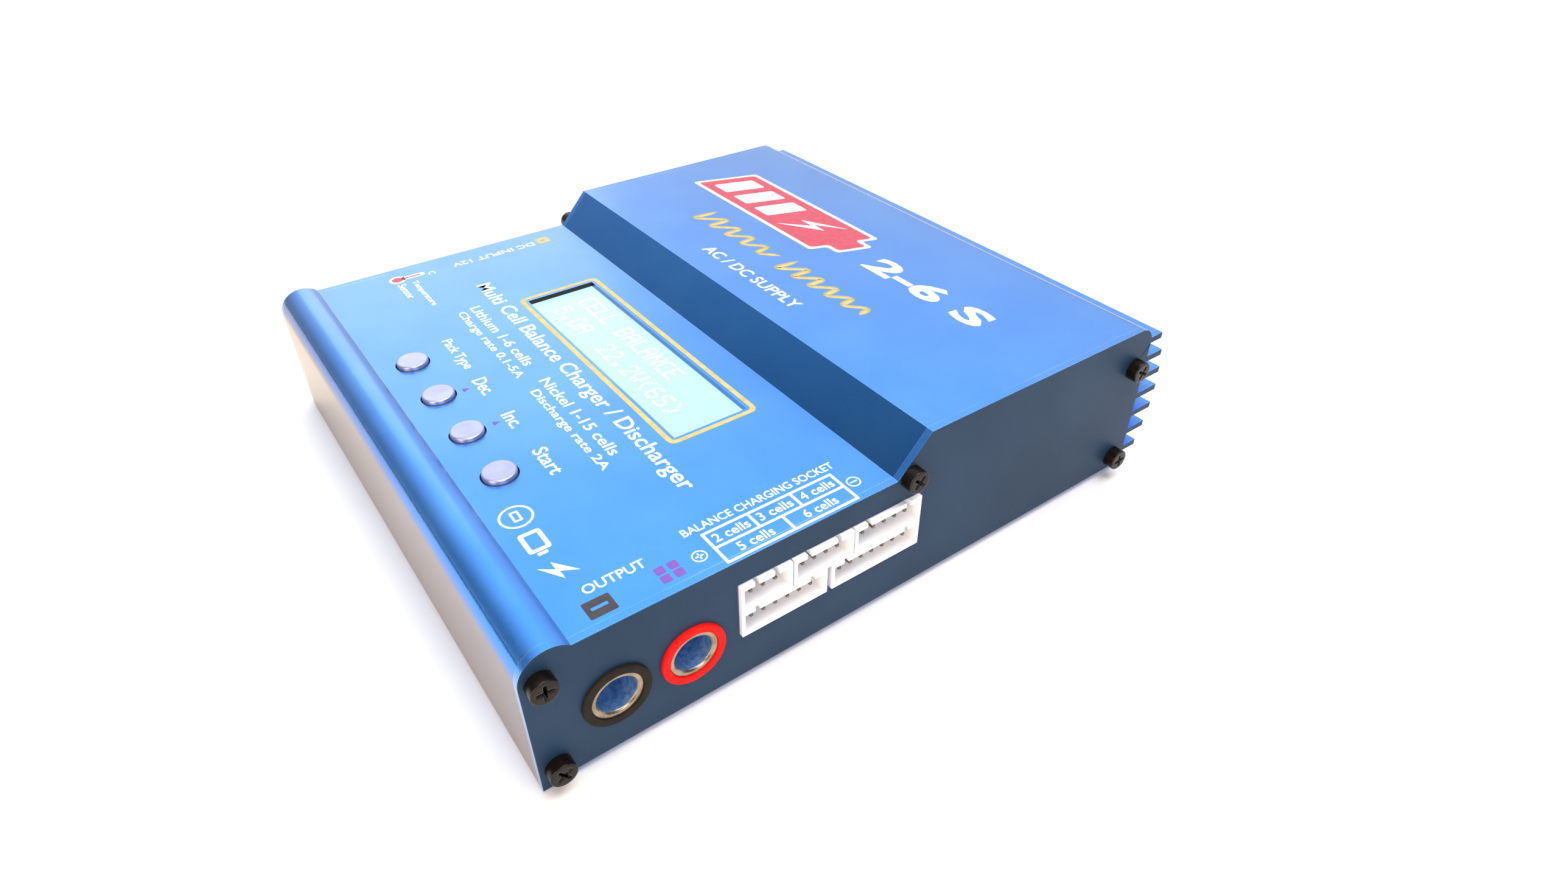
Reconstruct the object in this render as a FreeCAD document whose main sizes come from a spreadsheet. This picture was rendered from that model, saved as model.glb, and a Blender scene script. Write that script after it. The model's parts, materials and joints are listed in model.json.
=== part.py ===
import FreeCAD, Part
import Sketcher
import math
import os

# Balance battery charger: a folded-deck aluminium extrusion closed by a base plate and two end plates,
# with a display and four keys on its low deck, output and balance sockets at the right end, supply
# sockets at the left end, and its boards and power parts inside.
# +X is to the right, -Y is the front, +Z is up. The origin is the centre of the footprint, on the ground.

document = FreeCAD.newDocument("balance_battery_charger")
sheet = document.addObject("Spreadsheet::Sheet", "sizes")


class Size:
    """A length that knows its value and the sheet formula that gives it."""

    def __init__(self, value, formula):
        self.value = float(value)
        self.formula = formula

    def __add__(self, other):
        other = as_size(other)
        return Size(self.value + other.value, f"({self.formula} + {other.formula})")

    def __sub__(self, other):
        other = as_size(other)
        return Size(self.value - other.value, f"({self.formula} - {other.formula})")

    def __mul__(self, other):
        other = as_size(other)
        return Size(self.value * other.value, f"({self.formula} * {other.formula})")

    def __truediv__(self, other):
        other = as_size(other)
        return Size(self.value / other.value, f"({self.formula} / {other.formula})")

    def __neg__(self):
        return Size(-self.value, f"(0 - {self.formula})")

    def root(self):
        return Size(math.sqrt(self.value), f"sqrt({self.formula})")


def as_size(number):
    """A plain number as a Size, so that it can stand in a formula."""
    if isinstance(number, Size):
        return number
    return Size(number, f"({float(number)!r})")


# ---------------------------------------------------------------------------------------------
# Driving dimensions, in millimetres
# ---------------------------------------------------------------------------------------------

driving_dimensions = {
    # the case
    "overall_length": (135.0, "left end plate to right end plate, over their outer faces"),
    "body_depth": (142.4, "front face to the back wall's outer face"),
    "fin_reach": (6.6, "how far the longest cooling fin stands out of the back wall"),
    "low_deck_height": (28.5, "rail underside to the low deck"),
    "high_deck_height": (36.3, "rail underside to the high deck"),
    "slope_start": (72.2, "front face to the foot of the slope between the decks"),
    "slope_run": (7.3, "depth taken up by the slope"),
    "brow_radius": (5.3, "round brow along the front edge of the low deck"),
    "brow_rise": (1.45, "how far the brow stands above the low deck"),
    "back_corner_radius": (4.0, "round edge between the high deck and the back wall"),
    "wall": (1.8, "front wall, decks and slope"),
    "back_wall": (2.6, "finned wall"),
    "plate_thickness": (1.5, "end plates"),
    "fin_thickness": (1.4, "each cooling fin"),
    "fin_pitch": (4.72, "fin to fin"),
    "fin_top": (33.5, "rail underside to the top face of the highest fin"),
    "fin_crown": (0.3, "how quickly the fins shorten away from the longest one"),
    "fin_middle": (3.2, "place of the longest fin, counted in fins from the top"),
    # the base
    "rail_drop": (1.0, "how far the front rail reaches below the back rail and the end plates' long edges"),
    "rail_lip": (0.5, "back rail's lip under the base plate"),
    "base_thickness": (1.0, "base plate"),
    "groove_gap": (0.05, "play of the base plate in its grooves, each side"),
    "groove_depth": (4.0, "how far the base plate enters the rails"),
    "foot_proud": (0.6, "how far the rubber feet stand below the rails"),
    "foot_radius": (4.0, "rubber feet"),
    "foot_edge": (0.4, "round edge of the rubber feet"),
    "foot_inset": (14.0, "centre of each foot from the case's edges"),
    # the end plate screws
    "screw_radius": (1.45, "thread of the end plate screws"),
    "screw_gap": (0.05, "thread to its channel in the extrusion"),
    "screw_plate_gap": (0.2, "thread to its hole in the end plate"),
    "screw_length": (9.0, "under the head"),
    "head_radius": (2.35, "pan head"),
    "head_height": (2.4, "pan head"),
    "head_edge_share": (0.28, "round edge of a screw head, as a share of its height"),
    "recess_reach": (0.74, "arms of the cross recess, as a share of the head's radius"),
    "recess_half": (0.13, "half the width of the recess's arms, as a share of the head's radius"),
    "recess_floor": (0.45, "floor of the recess, as a share of the head's height"),
    "channel_radius": (2.3, "screw channel of the extrusion, outside"),
    "screw_inset": (3.2, "front channels' centre from the front face"),
    "back_screw_inset": (4.2, "back channels' centre from the back wall's outer face"),
    "low_screw_height": (4.3, "lower channels' centre above the rail underside"),
    "front_screw_height": (24.3, "upper front channel's centre above the rail underside"),
    "back_screw_height": (27.4, "upper back channel's centre above the rail underside"),
    "slope_screw_along": (3.0, "slope channel's centre behind the foot of the slope"),
    "slope_screw_below": (0.2, "slope channel's centre below the low deck"),
    # the display
    "window_length": (66.0, "opening in the low deck"),
    "window_width": (16.4, "opening in the low deck"),
    "window_centre": (55.2, "front face to the middle of the window"),
    "bezel_margin": (4.0, "steel frame beyond the window, each side"),
    "bezel_sheet": (0.5, "steel frame's sheet"),
    "view_margin": (0.9, "steel frame's own opening beyond the window, each side"),
    "display_gap": (0.2, "play between pieces of the display and the case"),
    "glass_thickness": (2.2, "display glass, under its raised pane"),
    "pane_sink": (1.0, "raised pane of the display glass below the low deck"),
    "pane_gap": (0.15, "raised pane to the window's sides"),
    "backlight_thickness": (3.5, "light guide"),
    "board_thickness": (1.6, "every printed circuit board"),
    "display_board_length": (80.0, "display board"),
    "display_board_width": (35.0, "display board"),
    # the keys
    "key_radius": (3.2, "button cap"),
    "key_gap": (0.3, "button cap to its hole in the deck"),
    "key_proud": (0.9, "button cap above the low deck"),
    "key_edge": (0.5, "round edge of the button cap"),
    "key_pitch": (15.3, "button to button"),
    "key_inset": (16.25, "front face to the buttons' centres"),
    "first_key": (45.6, "left end plate's outer face to the first button's centre"),
    "key_collar": (0.9, "how far the cap's collar reaches beyond the cap"),
    "key_collar_height": (0.8, "thickness of the collar"),
    "key_travel": (0.3, "switch travel"),
    "key_lift": (0.2, "collar to the deck's underside"),
    "stem_radius": (1.7, "switch stem"),
    "stem_grip": (1.8, "depth of the stem in its cap"),
    "switch_side": (6.0, "tact switch body"),
    "switch_height": (3.5, "tact switch body"),
    "cap_height": (3.6, "underside of the collar to the switch body"),
    "keypad_margin": (7.0, "keypad board beyond the outer buttons"),
    "keypad_width": (15.0, "keypad board, front to back"),
    # the output sockets
    "socket_inset": (14.6, "front face to the negative socket's axis"),
    "socket_pitch": (14.1, "negative to positive socket"),
    "socket_height": (13.2, "rail underside to the sockets' axes"),
    "ring_radius": (6.1, "coloured insulating ring"),
    "ring_proud": (0.7, "insulating ring beyond the end plate"),
    "ring_edge": (0.3, "round edge of the insulating ring"),
    "barrel_wall": (0.8, "insulating barrel around the metal sleeve"),
    "barrel_gap": (0.1, "insulating barrel to its hole in the end plate"),
    "barrel_length": (10.0, "insulating barrel behind the end plate's outer face"),
    "sleeve_radius": (4.6, "metal sleeve"),
    "sleeve_gap": (0.02, "metal sleeve to its barrel"),
    "mouth_radius": (3.55, "wide mouth of the metal sleeve"),
    "mouth_depth": (6.5, "wide mouth of the metal sleeve"),
    "mouth_chamfer": (0.35, "lead-in of the metal sleeve"),
    "contact_radius": (2.0, "contact bore for a four millimetre plug"),
    "contact_depth": (12.0, "contact bore"),
    "sleeve_wall": (1.0, "metal around the contact bore, and behind it"),
    "nut_wall": (1.0, "round nut beyond the insulating barrel"),
    "nut_thickness": (2.5, "round nut"),
    "lead_radius": (1.2, "insulated output leads"),
    "lead_bend": (4.5, "bend of the output leads"),
    # the balance sockets
    "pin_pitch": (2.54, "pin to pin"),
    "pin_side": (0.64, "square pins"),
    "end_margin": (2.75, "outer pin to the end of its socket"),
    "header_height": (5.85, "each socket row"),
    "header_depth": (7.0, "each socket, mouth to board"),
    "header_proud": (0.75, "sockets beyond the end plate"),
    "header_gap": (0.3, "between neighbours in a row"),
    "header_window_gap": (0.2, "sockets to their opening in the end plate"),
    "long_wall": (1.1, "socket wall over the pins"),
    "short_wall": (0.7, "socket end walls and the wall under the pins"),
    "header_floor": (2.0, "socket floor, which the pins are pressed into"),
    "notch_inset": (2.8, "end of a socket to its key notch"),
    "notch_width": (0.9, "key notches"),
    "notch_depth": (3.4, "key notches"),
    "pin_recess": (1.2, "pin tips behind the socket's mouth"),
    "pin_tail": (1.5, "pins beyond the back of their board"),
    "header_start": (38.0, "front face to the first socket"),
    "header_base": (11.3, "rail underside to the lower row"),
    # the supply sockets
    "inlet_centre": (112.0, "front face to the middle of the mains inlet"),
    "inlet_height": (18.0, "rail underside to the middle of the mains inlet"),
    "inlet_width": (27.0, "mains inlet body"),
    "inlet_tall": (19.6, "mains inlet body"),
    "inlet_depth": (19.0, "mains inlet body behind the end plate"),
    "inlet_flange": (2.2, "mains inlet flange, around the body and in thickness"),
    "inlet_wall": (1.5, "mains inlet walls and floor"),
    "inlet_gap": (0.1, "mains inlet to its opening"),
    "inlet_corner": (4.6, "cut corners of the mains inlet"),
    "blade_pitch": (7.0, "mains inlet contacts, side to side"),
    "blade_drop": (4.0, "the middle contact above the outer ones"),
    "blade_width": (2.0, "mains contacts"),
    "blade_tall": (4.0, "mains contacts"),
    "blade_recess": (5.0, "contact tips behind the inlet's mouth"),
    "jack_centre": (54.0, "front face to the low-voltage jack's axis"),
    "jack_height": (15.0, "rail underside to the low-voltage jack's axis"),
    "jack_radius": (4.4, "low-voltage jack's barrel"),
    "jack_flange": (5.8, "low-voltage jack's flange"),
    "jack_bore": (3.2, "low-voltage jack's mouth"),
    "jack_pin_radius": (1.05, "low-voltage jack's centre pin"),
    "jack_depth": (13.0, "low-voltage jack behind the end plate"),
    "jack_wall": (1.2, "low-voltage jack's floor"),
    "jack_tail": (2.0, "low-voltage jack's terminal"),
    "sensor_centre": (29.0, "front face to the temperature sensor socket"),
    # inside
    "board_standoff": (2.7, "base plate to the main and power boards"),
    "board_margin": (3.0, "boards to the end plates"),
    "board_gap": (1.2, "boards to the rails and to each other"),
    "spacer_radius": (2.6, "board spacers"),
    "board_screw_radius": (1.2, "board screws"),
    "board_screw_head": (2.2, "board screw heads"),
    "board_head_height": (1.43, "board screw heads"),
    "board_screw_inset": (5.0, "board screws from the boards' front and back edges"),
    "board_screw_end": (8.0, "board screws from the boards' ends"),
    "core_length": (26.0, "transformer core"),
    "core_width": (9.0, "transformer core"),
    "core_height": (22.0, "transformer core"),
    "core_window": (3.0, "core above and below the winding"),
    "winding_length": (17.0, "transformer winding"),
    "winding_width": (21.0, "transformer winding"),
    "core_inset": (48.0, "right end plate's outer face to the middle of the transformer"),
    "part_gap": (3.0, "between parts on the power board"),
    "mains_capacitor_radius": (9.0, "mains capacitor"),
    "mains_capacitor_height": (25.0, "mains capacitor"),
    "output_capacitor_radius": (5.0, "output capacitors"),
    "output_capacitor_height": (20.0, "output capacitors"),
    "output_capacitor_pitch": (11.0, "output capacitors"),
    "inductor_ring": (5.5, "inductor's ring"),
    "inductor_wire": (2.6, "inductor's wound section"),
    "inductor_inset": (18.0, "right end plate's outer face to the inductor"),
    "inductor_back": (18.0, "inductor from the back edge of the main board"),
    "transistor_width": (10.0, "power transistors"),
    "transistor_thickness": (4.5, "power transistors"),
    "transistor_height": (15.0, "power transistors"),
    "transistor_pitch": (16.0, "power transistors"),
    "transistor_gap": (1.0, "power transistors below the back screw channel"),
    "chip_side": (12.0, "controller"),
    "chip_thickness": (1.4, "controller"),
    "chip_inset": (60.0, "right end plate's outer face to the controller"),
}


class Dimensions:
    """Every driving dimension as a Size, by name."""


dim = Dimensions()
for row, (alias, (number, meaning)) in enumerate(driving_dimensions.items(), start=1):
    sheet.set(f"A{row}", alias)
    sheet.set(f"B{row}", str(number))
    sheet.set(f"C{row}", meaning)
    sheet.setAlias(f"B{row}", alias)
    setattr(dim, alias, Size(number, f"sizes.{alias}"))
document.recompute()

# How far a cut runs on past the face that it opens
CLEAR = 1

# Datums that the pieces share
right = dim.overall_length / 2
left = -right
shell_right = right - dim.plate_thickness
shell_left = -shell_right
front = -(dim.body_depth + dim.fin_reach) / 2
back = front + dim.body_depth
ground = dim.foot_proud
low_deck = ground + dim.low_deck_height
high_deck = ground + dim.high_deck_height
under_low_deck = low_deck - dim.wall
under_high_deck = high_deck - dim.wall
rail_step = ground + dim.rail_drop
base_low = rail_step + dim.rail_lip + dim.groove_gap
base_top = base_low + dim.base_thickness
board_low = base_top + dim.board_standoff
board_top = board_low + dim.board_thickness
front_rail = front + dim.screw_inset + dim.channel_radius
back_rail = back - dim.back_screw_inset - dim.channel_radius
rail_top = ground + dim.low_screw_height + dim.channel_radius
slope_foot = front + dim.slope_start
slope_head = slope_foot + dim.slope_run


# ---------------------------------------------------------------------------------------------
# Makers: each one binds what it makes to the sheet
# ---------------------------------------------------------------------------------------------

nodes = []


def bind(item, path, size):
    """Ties one property to the sheet."""
    item.setExpression(path, as_size(size).formula)


def bind_place(item, x, y, z):
    """Ties an object's place to the sheet."""
    for path, size in (("x", x), ("y", y), ("z", z)):
        bind(item, f"Placement.Base.{path}", size)


def keep(item, name):
    """Makes an object one of the charger's own pieces, under its name."""
    item.Label = name
    nodes.append(item)
    return item


def around(middle, size):
    """The span of this size about its middle."""
    return (middle - size / 2, middle + size / 2)


def shrink(span, amount):
    """A span with both its ends moved in."""
    return (span[0] + amount, span[1] - amount)


UPRIGHT = FreeCAD.Rotation()
ALONG_X = FreeCAD.Rotation(FreeCAD.Vector(0, 1, 0), 90)
AGAINST_X = FreeCAD.Rotation(FreeCAD.Vector(0, 1, 0), -90)


def box(name, x, y, z):
    """A block from its low and high sides."""
    block = document.addObject("Part::Box", name)
    for path, (low, high) in (("Length", x), ("Width", y), ("Height", z)):
        bind(block, path, as_size(high) - low)
    bind_place(block, x[0], y[0], z[0])
    return block


def rod(name, radius, height, place, turn=UPRIGHT):
    """A round bar that starts at its place and runs along its turned axis."""
    bar = document.addObject("Part::Cylinder", name)
    bind(bar, "Radius", radius)
    bind(bar, "Height", height)
    bar.Placement = FreeCAD.Placement(FreeCAD.Vector(), turn)
    bind_place(bar, *place)
    return bar


def bend(name, radius, sweep_radius, place, turn):
    """A quarter of a round ring, for a lead that turns a corner."""
    ring = document.addObject("Part::Torus", name)
    bind(ring, "Radius1", sweep_radius)
    bind(ring, "Radius2", radius)
    ring.Angle3 = 90
    ring.Placement = FreeCAD.Placement(FreeCAD.Vector(), turn)
    bind_place(ring, *place)
    return ring


def joined(name, pieces):
    """Several solids made one."""
    union = document.addObject("Part::MultiFuse", name)
    union.Shapes = pieces
    return union


def cut(name, stock, tool):
    """One solid with another taken away."""
    result = document.addObject("Part::Cut", name)
    result.Base = stock
    result.Tool = tool
    return result


def group(name, pieces):
    """Identical loose pieces that share one name."""
    bunch = document.addObject("Part::Compound", name)
    bunch.Links = pieces
    return bunch


def new_body(name):
    return document.addObject("PartDesign::Body", name)


PLANES = {"x": "YZ_Plane", "y": "XZ_Plane", "z": "XY_Plane"}


def sketch_on(body, axis, level, title):
    """A sketch on the body's own plane across an axis, at a level along that axis."""
    sketch = body.newObject("Sketcher::SketchObject", title)
    plane = [item for item in body.Origin.OriginFeatures if item.Role == PLANES[axis]]
    sketch.AttachmentSupport = [(plane[0], "")]
    sketch.MapMode = "FlatFace"
    along_normal = -as_size(level) if axis == "y" else as_size(level)
    sketch.AttachmentOffset = FreeCAD.Placement(
        FreeCAD.Vector(0, 0, along_normal.value), FreeCAD.Rotation()
    )
    bind(sketch, "AttachmentOffset.Base.z", along_normal)
    return sketch


def pin_point(sketch, element, vertex, across, up):
    """Holds one point of a sketch at its distances from the sketch's origin."""
    for kind, size in (("DistanceX", across), ("DistanceY", up)):
        size = as_size(size)
        rule = Sketcher.Constraint(kind, -1, 1, element, vertex, size.value)
        bind(sketch, f"Constraints[{sketch.addConstraint(rule)}]", size)


def draw_circle(sketch, across, up, radius):
    """A circle held by its centre and radius."""
    radius = as_size(radius)
    centre = FreeCAD.Vector(as_size(across).value, as_size(up).value, 0)
    element = sketch.addGeometry(Part.Circle(centre, FreeCAD.Vector(0, 0, 1), radius.value))
    rule = Sketcher.Constraint("Radius", element, radius.value)
    bind(sketch, f"Constraints[{sketch.addConstraint(rule)}]", radius)
    pin_point(sketch, element, 3, across, up)


def draw_outline(sketch, corners):
    """A closed outline. A corner is (across, up), and (across, up, radius) starts an arc to the next
    corner: clockwise about its centre for a positive radius, counter-clockwise for a negative one."""
    points = [FreeCAD.Vector(as_size(corner[0]).value, as_size(corner[1]).value, 0) for corner in corners]
    elements = []
    for place, corner in enumerate(corners):
        start, end = points[place], points[(place + 1) % len(points)]
        if len(corner) == 2:
            elements.append((sketch.addGeometry(Part.LineSegment(start, end)), 1, 2))
            continue
        radius = as_size(corner[2])
        clockwise = radius.value > 0
        size = radius if clockwise else -radius
        chord = end - start
        side = FreeCAD.Vector(chord.y, -chord.x, 0).normalize() * (1 if clockwise else -1)
        reach = math.sqrt(max(size.value ** 2 - (chord.Length / 2) ** 2, 0))
        centre = start + chord / 2 + side * reach
        first, last = (end, start) if clockwise else (start, end)
        angles = [math.atan2(point.y - centre.y, point.x - centre.x) for point in (first, last)]
        circle = Part.Circle(centre, FreeCAD.Vector(0, 0, 1), size.value)
        element = sketch.addGeometry(Part.ArcOfCircle(circle, *angles))
        rule = Sketcher.Constraint("Radius", element, size.value)
        bind(sketch, f"Constraints[{sketch.addConstraint(rule)}]", size)
        elements.append((element, 2, 1) if clockwise else (element, 1, 2))
    for place, (element, start, end) in enumerate(elements):
        following = elements[(place + 1) % len(elements)]
        sketch.addConstraint(Sketcher.Constraint("Coincident", element, end, following[0], following[1]))
        pin_point(sketch, element, start, corners[place][0], corners[place][1])


def draw_rectangle(sketch, across, up):
    """A rectangle from its low and high sides."""
    corners = [(across[0], up[0]), (across[1], up[0]), (across[1], up[1]), (across[0], up[1])]
    draw_outline(sketch, corners)


def pad(body, axis, low, high, title):
    """Starts a slab between two levels of an axis: the caller draws its outline on the sketch."""
    sketch = sketch_on(body, axis, high if axis == "y" else low, title + "_outline")
    feature = body.newObject("PartDesign::Pad", title)
    feature.Profile = sketch
    bind(feature, "Length", as_size(high) - low)
    return sketch


def pocket(body, axis, low, high, title):
    """Starts a cut between two levels of an axis: the caller draws its outline on the sketch."""
    sketch = sketch_on(body, axis, low if axis == "y" else high, title + "_outline")
    feature = body.newObject("PartDesign::Pocket", title)
    feature.Profile = sketch
    bind(feature, "Length", as_size(high) - low)
    return sketch


def turned(name, corners, place, turn=UPRIGHT):
    """A round piece: an outline of (radius, height) corners turned about its own axis."""
    body = new_body(name)
    sketch = sketch_on(body, "y", 0, name + "_profile")
    draw_outline(sketch, corners)
    feature = body.newObject("PartDesign::Revolution", name + "_turning")
    feature.Profile = sketch
    feature.ReferenceAxis = (sketch, ["V_Axis"])
    feature.Angle = 360
    body.Placement = FreeCAD.Placement(FreeCAD.Vector(), turn)
    bind_place(body, *place)
    return body


# ---------------------------------------------------------------------------------------------
# Case: one extrusion, a base plate in its grooves and two end plates
# ---------------------------------------------------------------------------------------------

slope_rise = dim.high_deck_height - dim.low_deck_height
slope_span = (dim.slope_run * dim.slope_run + slope_rise * slope_rise).root()
slope_lean = (slope_span - dim.slope_run) / slope_rise
brow_centre = low_deck + dim.brow_rise - dim.brow_radius
brow_drop = low_deck - brow_centre
crease = front + dim.brow_radius + (dim.brow_radius * dim.brow_radius - brow_drop * brow_drop).root()
inner_brow_radius = dim.brow_radius - dim.wall
inner_drop = under_low_deck - brow_centre
inner_half = (inner_brow_radius * inner_brow_radius - inner_drop * inner_drop).root()
inner_crease = front + dim.brow_radius + inner_half
corner_start = back - dim.back_corner_radius
corner_end = high_deck - dim.back_corner_radius

screw_places = [
    (front + dim.screw_inset, ground + dim.front_screw_height),
    (front + dim.screw_inset, ground + dim.low_screw_height),
    (slope_foot + dim.slope_screw_along, low_deck - dim.slope_screw_below),
    (back - dim.back_screw_inset, ground + dim.back_screw_height),
    (back - dim.back_screw_inset, ground + dim.low_screw_height),
]


def top_outline():
    """The case's outer line over the top, from the foot of the front to the rounded back corner."""
    return [
        (front, brow_centre, dim.brow_radius),
        (crease, low_deck),
        (slope_foot, low_deck),
        (slope_head, high_deck),
        (corner_start, high_deck, dim.back_corner_radius),
        (back, corner_end),
    ]


def fin_outline(order):
    """The four corners of one fin on the back wall, counted from the top."""
    shortening = (dim.fin_middle - order) * (dim.fin_middle - order) * dim.fin_crown
    tip = back + dim.fin_reach - shortening
    top = ground + dim.fin_top - dim.fin_pitch * order
    return [(back, top), (tip, top), (tip, top - dim.fin_thickness), (back, top - dim.fin_thickness)]


FIN_COUNT = 7
case_outline = [(front, ground)] + top_outline()
for order in range(FIN_COUNT):
    case_outline += fin_outline(order)
case_outline += [(back, rail_step), (front_rail, rail_step), (front_rail, ground)]

shell = new_body("case_shell")
outline = pad(shell, "x", shell_left, shell_right, "extrusion")
draw_outline(outline, case_outline)

cavity = [
    (front_rail, 0),
    (front_rail, rail_top),
    (front + dim.wall, rail_top),
    (front + dim.wall, brow_centre, inner_brow_radius),
    (inner_crease, under_low_deck),
    (slope_foot + dim.wall * slope_lean, under_low_deck),
    (slope_head + dim.wall * slope_lean, under_high_deck),
    (back - dim.back_wall, under_high_deck),
    (back - dim.back_wall, rail_top),
    (back_rail, rail_top),
    (back_rail, 0),
]
draw_outline(pocket(shell, "x", shell_left, shell_right, "cavity"), cavity)

channels = pad(shell, "x", shell_left, shell_right, "screw_channels")
for across, up in (screw_places[0], screw_places[2], screw_places[3]):
    draw_circle(channels, across, up, dim.channel_radius)
threads = pocket(shell, "x", shell_left, shell_right, "screw_threads")
for across, up in screw_places:
    draw_circle(threads, across, up, dim.screw_radius + dim.screw_gap)

grooves = pocket(shell, "x", shell_left, shell_right, "base_grooves")
groove_low = base_low - dim.groove_gap
groove_high = base_top + dim.groove_gap
front_groove = (front_rail - dim.groove_depth, front_rail + CLEAR)
back_groove = (back_rail - CLEAR, back_rail + dim.groove_depth)
for across in (front_groove, back_groove):
    draw_rectangle(grooves, across, (groove_low, groove_high))

window_across = around(as_size(0), dim.window_length)
window_along = around(front + dim.window_centre, dim.window_width)
key_places = [(left + dim.first_key + dim.key_pitch * order, front + dim.key_inset) for order in range(4)]
deck_openings = pocket(shell, "z", under_low_deck - CLEAR, low_deck + CLEAR, "deck_openings")
draw_rectangle(deck_openings, window_across, window_along)
for across, up in key_places:
    draw_circle(deck_openings, across, up, dim.key_radius + dim.key_gap)
keep(shell, "case_shell")

base = new_body("base_plate")
base_sketch = pad(base, "z", base_low, base_top, "base_sheet")
base_across = (shell_left + dim.groove_gap, shell_right - dim.groove_gap)
base_along = (
    front_rail - dim.groove_depth + dim.groove_gap,
    back_rail + dim.groove_depth - dim.groove_gap,
)
draw_rectangle(base_sketch, base_across, base_along)
keep(base, "base_plate")

foot_places = [
    (x, y)
    for x in (left + dim.foot_inset, right - dim.foot_inset)
    for y in (front + dim.foot_inset, back - dim.foot_inset)
]
foot_profile = [
    (0, 0),
    (dim.foot_radius - dim.foot_edge, 0, -dim.foot_edge),
    (dim.foot_radius, dim.foot_edge),
    (dim.foot_radius, base_low),
    (0, base_low),
]
feet = [turned(f"foot_{order}", foot_profile, (x, y, 0)) for order, (x, y) in enumerate(foot_places)]
keep(group("rubber_feet", feet), "rubber_feet")


def header_width(pins):
    """Length of a pin socket with this many pins."""
    return dim.pin_pitch * (pins - 1) + dim.end_margin * 2


def row_width(row):
    """Length of a row of pin sockets, without the gaps between them."""
    return sum((header_width(pins) for pins in row), as_size(0))


header_low = ground + dim.header_base
header_top = header_low + dim.header_height * 2
header_start = front + dim.header_start
upper_row = [3, 4, 5]
lower_row = [6, 7]
upper_length = row_width(upper_row) + dim.header_gap * (len(upper_row) - 1)
socket_axis_height = ground + dim.socket_height
socket_axes = [front + dim.socket_inset, front + dim.socket_inset + dim.socket_pitch]
barrel_radius = dim.sleeve_radius + dim.sleeve_gap + dim.barrel_wall

inlet_middle = (front + dim.inlet_centre, ground + dim.inlet_height)
jack_middle = (front + dim.jack_centre, ground + dim.jack_height)
sensor_pins = 3
sensor_width = header_width(sensor_pins)
sensor_low = board_top
sensor_along = around(front + dim.sensor_centre, sensor_width)


def end_plate(name, low, high):
    """An end plate with the case's outline, fins and all, and its screw holes.
    The caller draws the openings of its own side on the sketch that comes back."""
    plate = new_body(name)
    draw_outline(pad(plate, "x", low, high, name + "_sheet"), case_outline)
    openings = pocket(plate, "x", low, high, name + "_openings")
    for across, up in screw_places:
        draw_circle(openings, across, up, dim.screw_radius + dim.screw_plate_gap)
    keep(plate, name)
    return openings


output_openings = end_plate("right_end_plate", shell_right, right)
for axis in socket_axes:
    draw_circle(output_openings, axis, socket_axis_height, barrel_radius + dim.barrel_gap)
window_gap = dim.header_window_gap
draw_rectangle(
    output_openings,
    shrink((header_start, header_start + upper_length), -window_gap),
    shrink((header_low, header_top), -window_gap),
)

supply_openings = end_plate("left_end_plate", left, shell_left)
draw_rectangle(
    supply_openings,
    around(inlet_middle[0], dim.inlet_width + dim.inlet_gap * 2),
    around(inlet_middle[1], dim.inlet_tall + dim.inlet_gap * 2),
)
draw_circle(supply_openings, jack_middle[0], jack_middle[1], dim.jack_radius + dim.barrel_gap)
draw_rectangle(
    supply_openings,
    shrink(sensor_along, -window_gap),
    shrink((sensor_low, sensor_low + dim.header_height), -window_gap),
)


def pan_screw(name, place, turn, radius, length, head, head_height):
    """A pan-head screw with a cross recess. Its place is under the head, and its head is above."""
    edge = head_height * dim.head_edge_share
    profile = [
        (0, -length),
        (radius, -length),
        (radius, 0),
        (head, 0),
        (head, head_height - edge, -edge),
        (head - edge, head_height),
        (0, head_height),
    ]
    screw = turned(name, profile, place, turn)
    arm = head * dim.recess_reach
    half = head * dim.recess_half
    cross = [
        (-arm, -half), (-half, -half), (-half, -arm), (half, -arm), (half, -half), (arm, -half),
        (arm, half), (half, half), (half, arm), (-half, arm), (-half, half), (-arm, half),
    ]
    draw_outline(pocket(screw, "z", head_height * dim.recess_floor, head_height, name + "_recess"), cross)
    return screw


for name, face, turn in (("right_plate_screws", right, ALONG_X), ("left_plate_screws", left, AGAINST_X)):
    screws = []
    for order, (across, up) in enumerate(screw_places):
        screws.append(pan_screw(
            f"{name}_{order}", (face, across, up), turn,
            dim.screw_radius, dim.screw_length, dim.head_radius, dim.head_height,
        ))
    keep(group(name, screws), name)

# ---------------------------------------------------------------------------------------------
# Boards
# ---------------------------------------------------------------------------------------------

main_across = (shell_left + dim.board_margin, shell_right - dim.board_margin)
board_split = slope_foot + dim.slope_run / 2
main_along = (front_rail + dim.board_gap, board_split - dim.board_gap / 2)
power_along = (board_split + dim.board_gap / 2, back_rail - dim.board_gap)


def board(name, x, y, low, screw_spots):
    """A circuit board with a hole for each of its screws."""
    body = new_body(name)
    sketch = pad(body, "z", low, low + dim.board_thickness, name + "_laminate")
    draw_rectangle(sketch, x, y)
    for spot in screw_spots:
        draw_circle(sketch, spot[0], spot[1], dim.board_screw_radius + dim.screw_plate_gap)
    return keep(body, name)


def corner_spots(x, y):
    """The four screw places of a board."""
    return [
        (across, along)
        for across in shrink(x, dim.board_screw_end)
        for along in shrink(y, dim.board_screw_inset)
    ]


main_spots = corner_spots(main_across, main_along)
power_spots = corner_spots(main_across, power_along)
board("main_board", main_across, main_along, board_low, main_spots)
board("power_board", main_across, power_along, board_low, power_spots)

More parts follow.
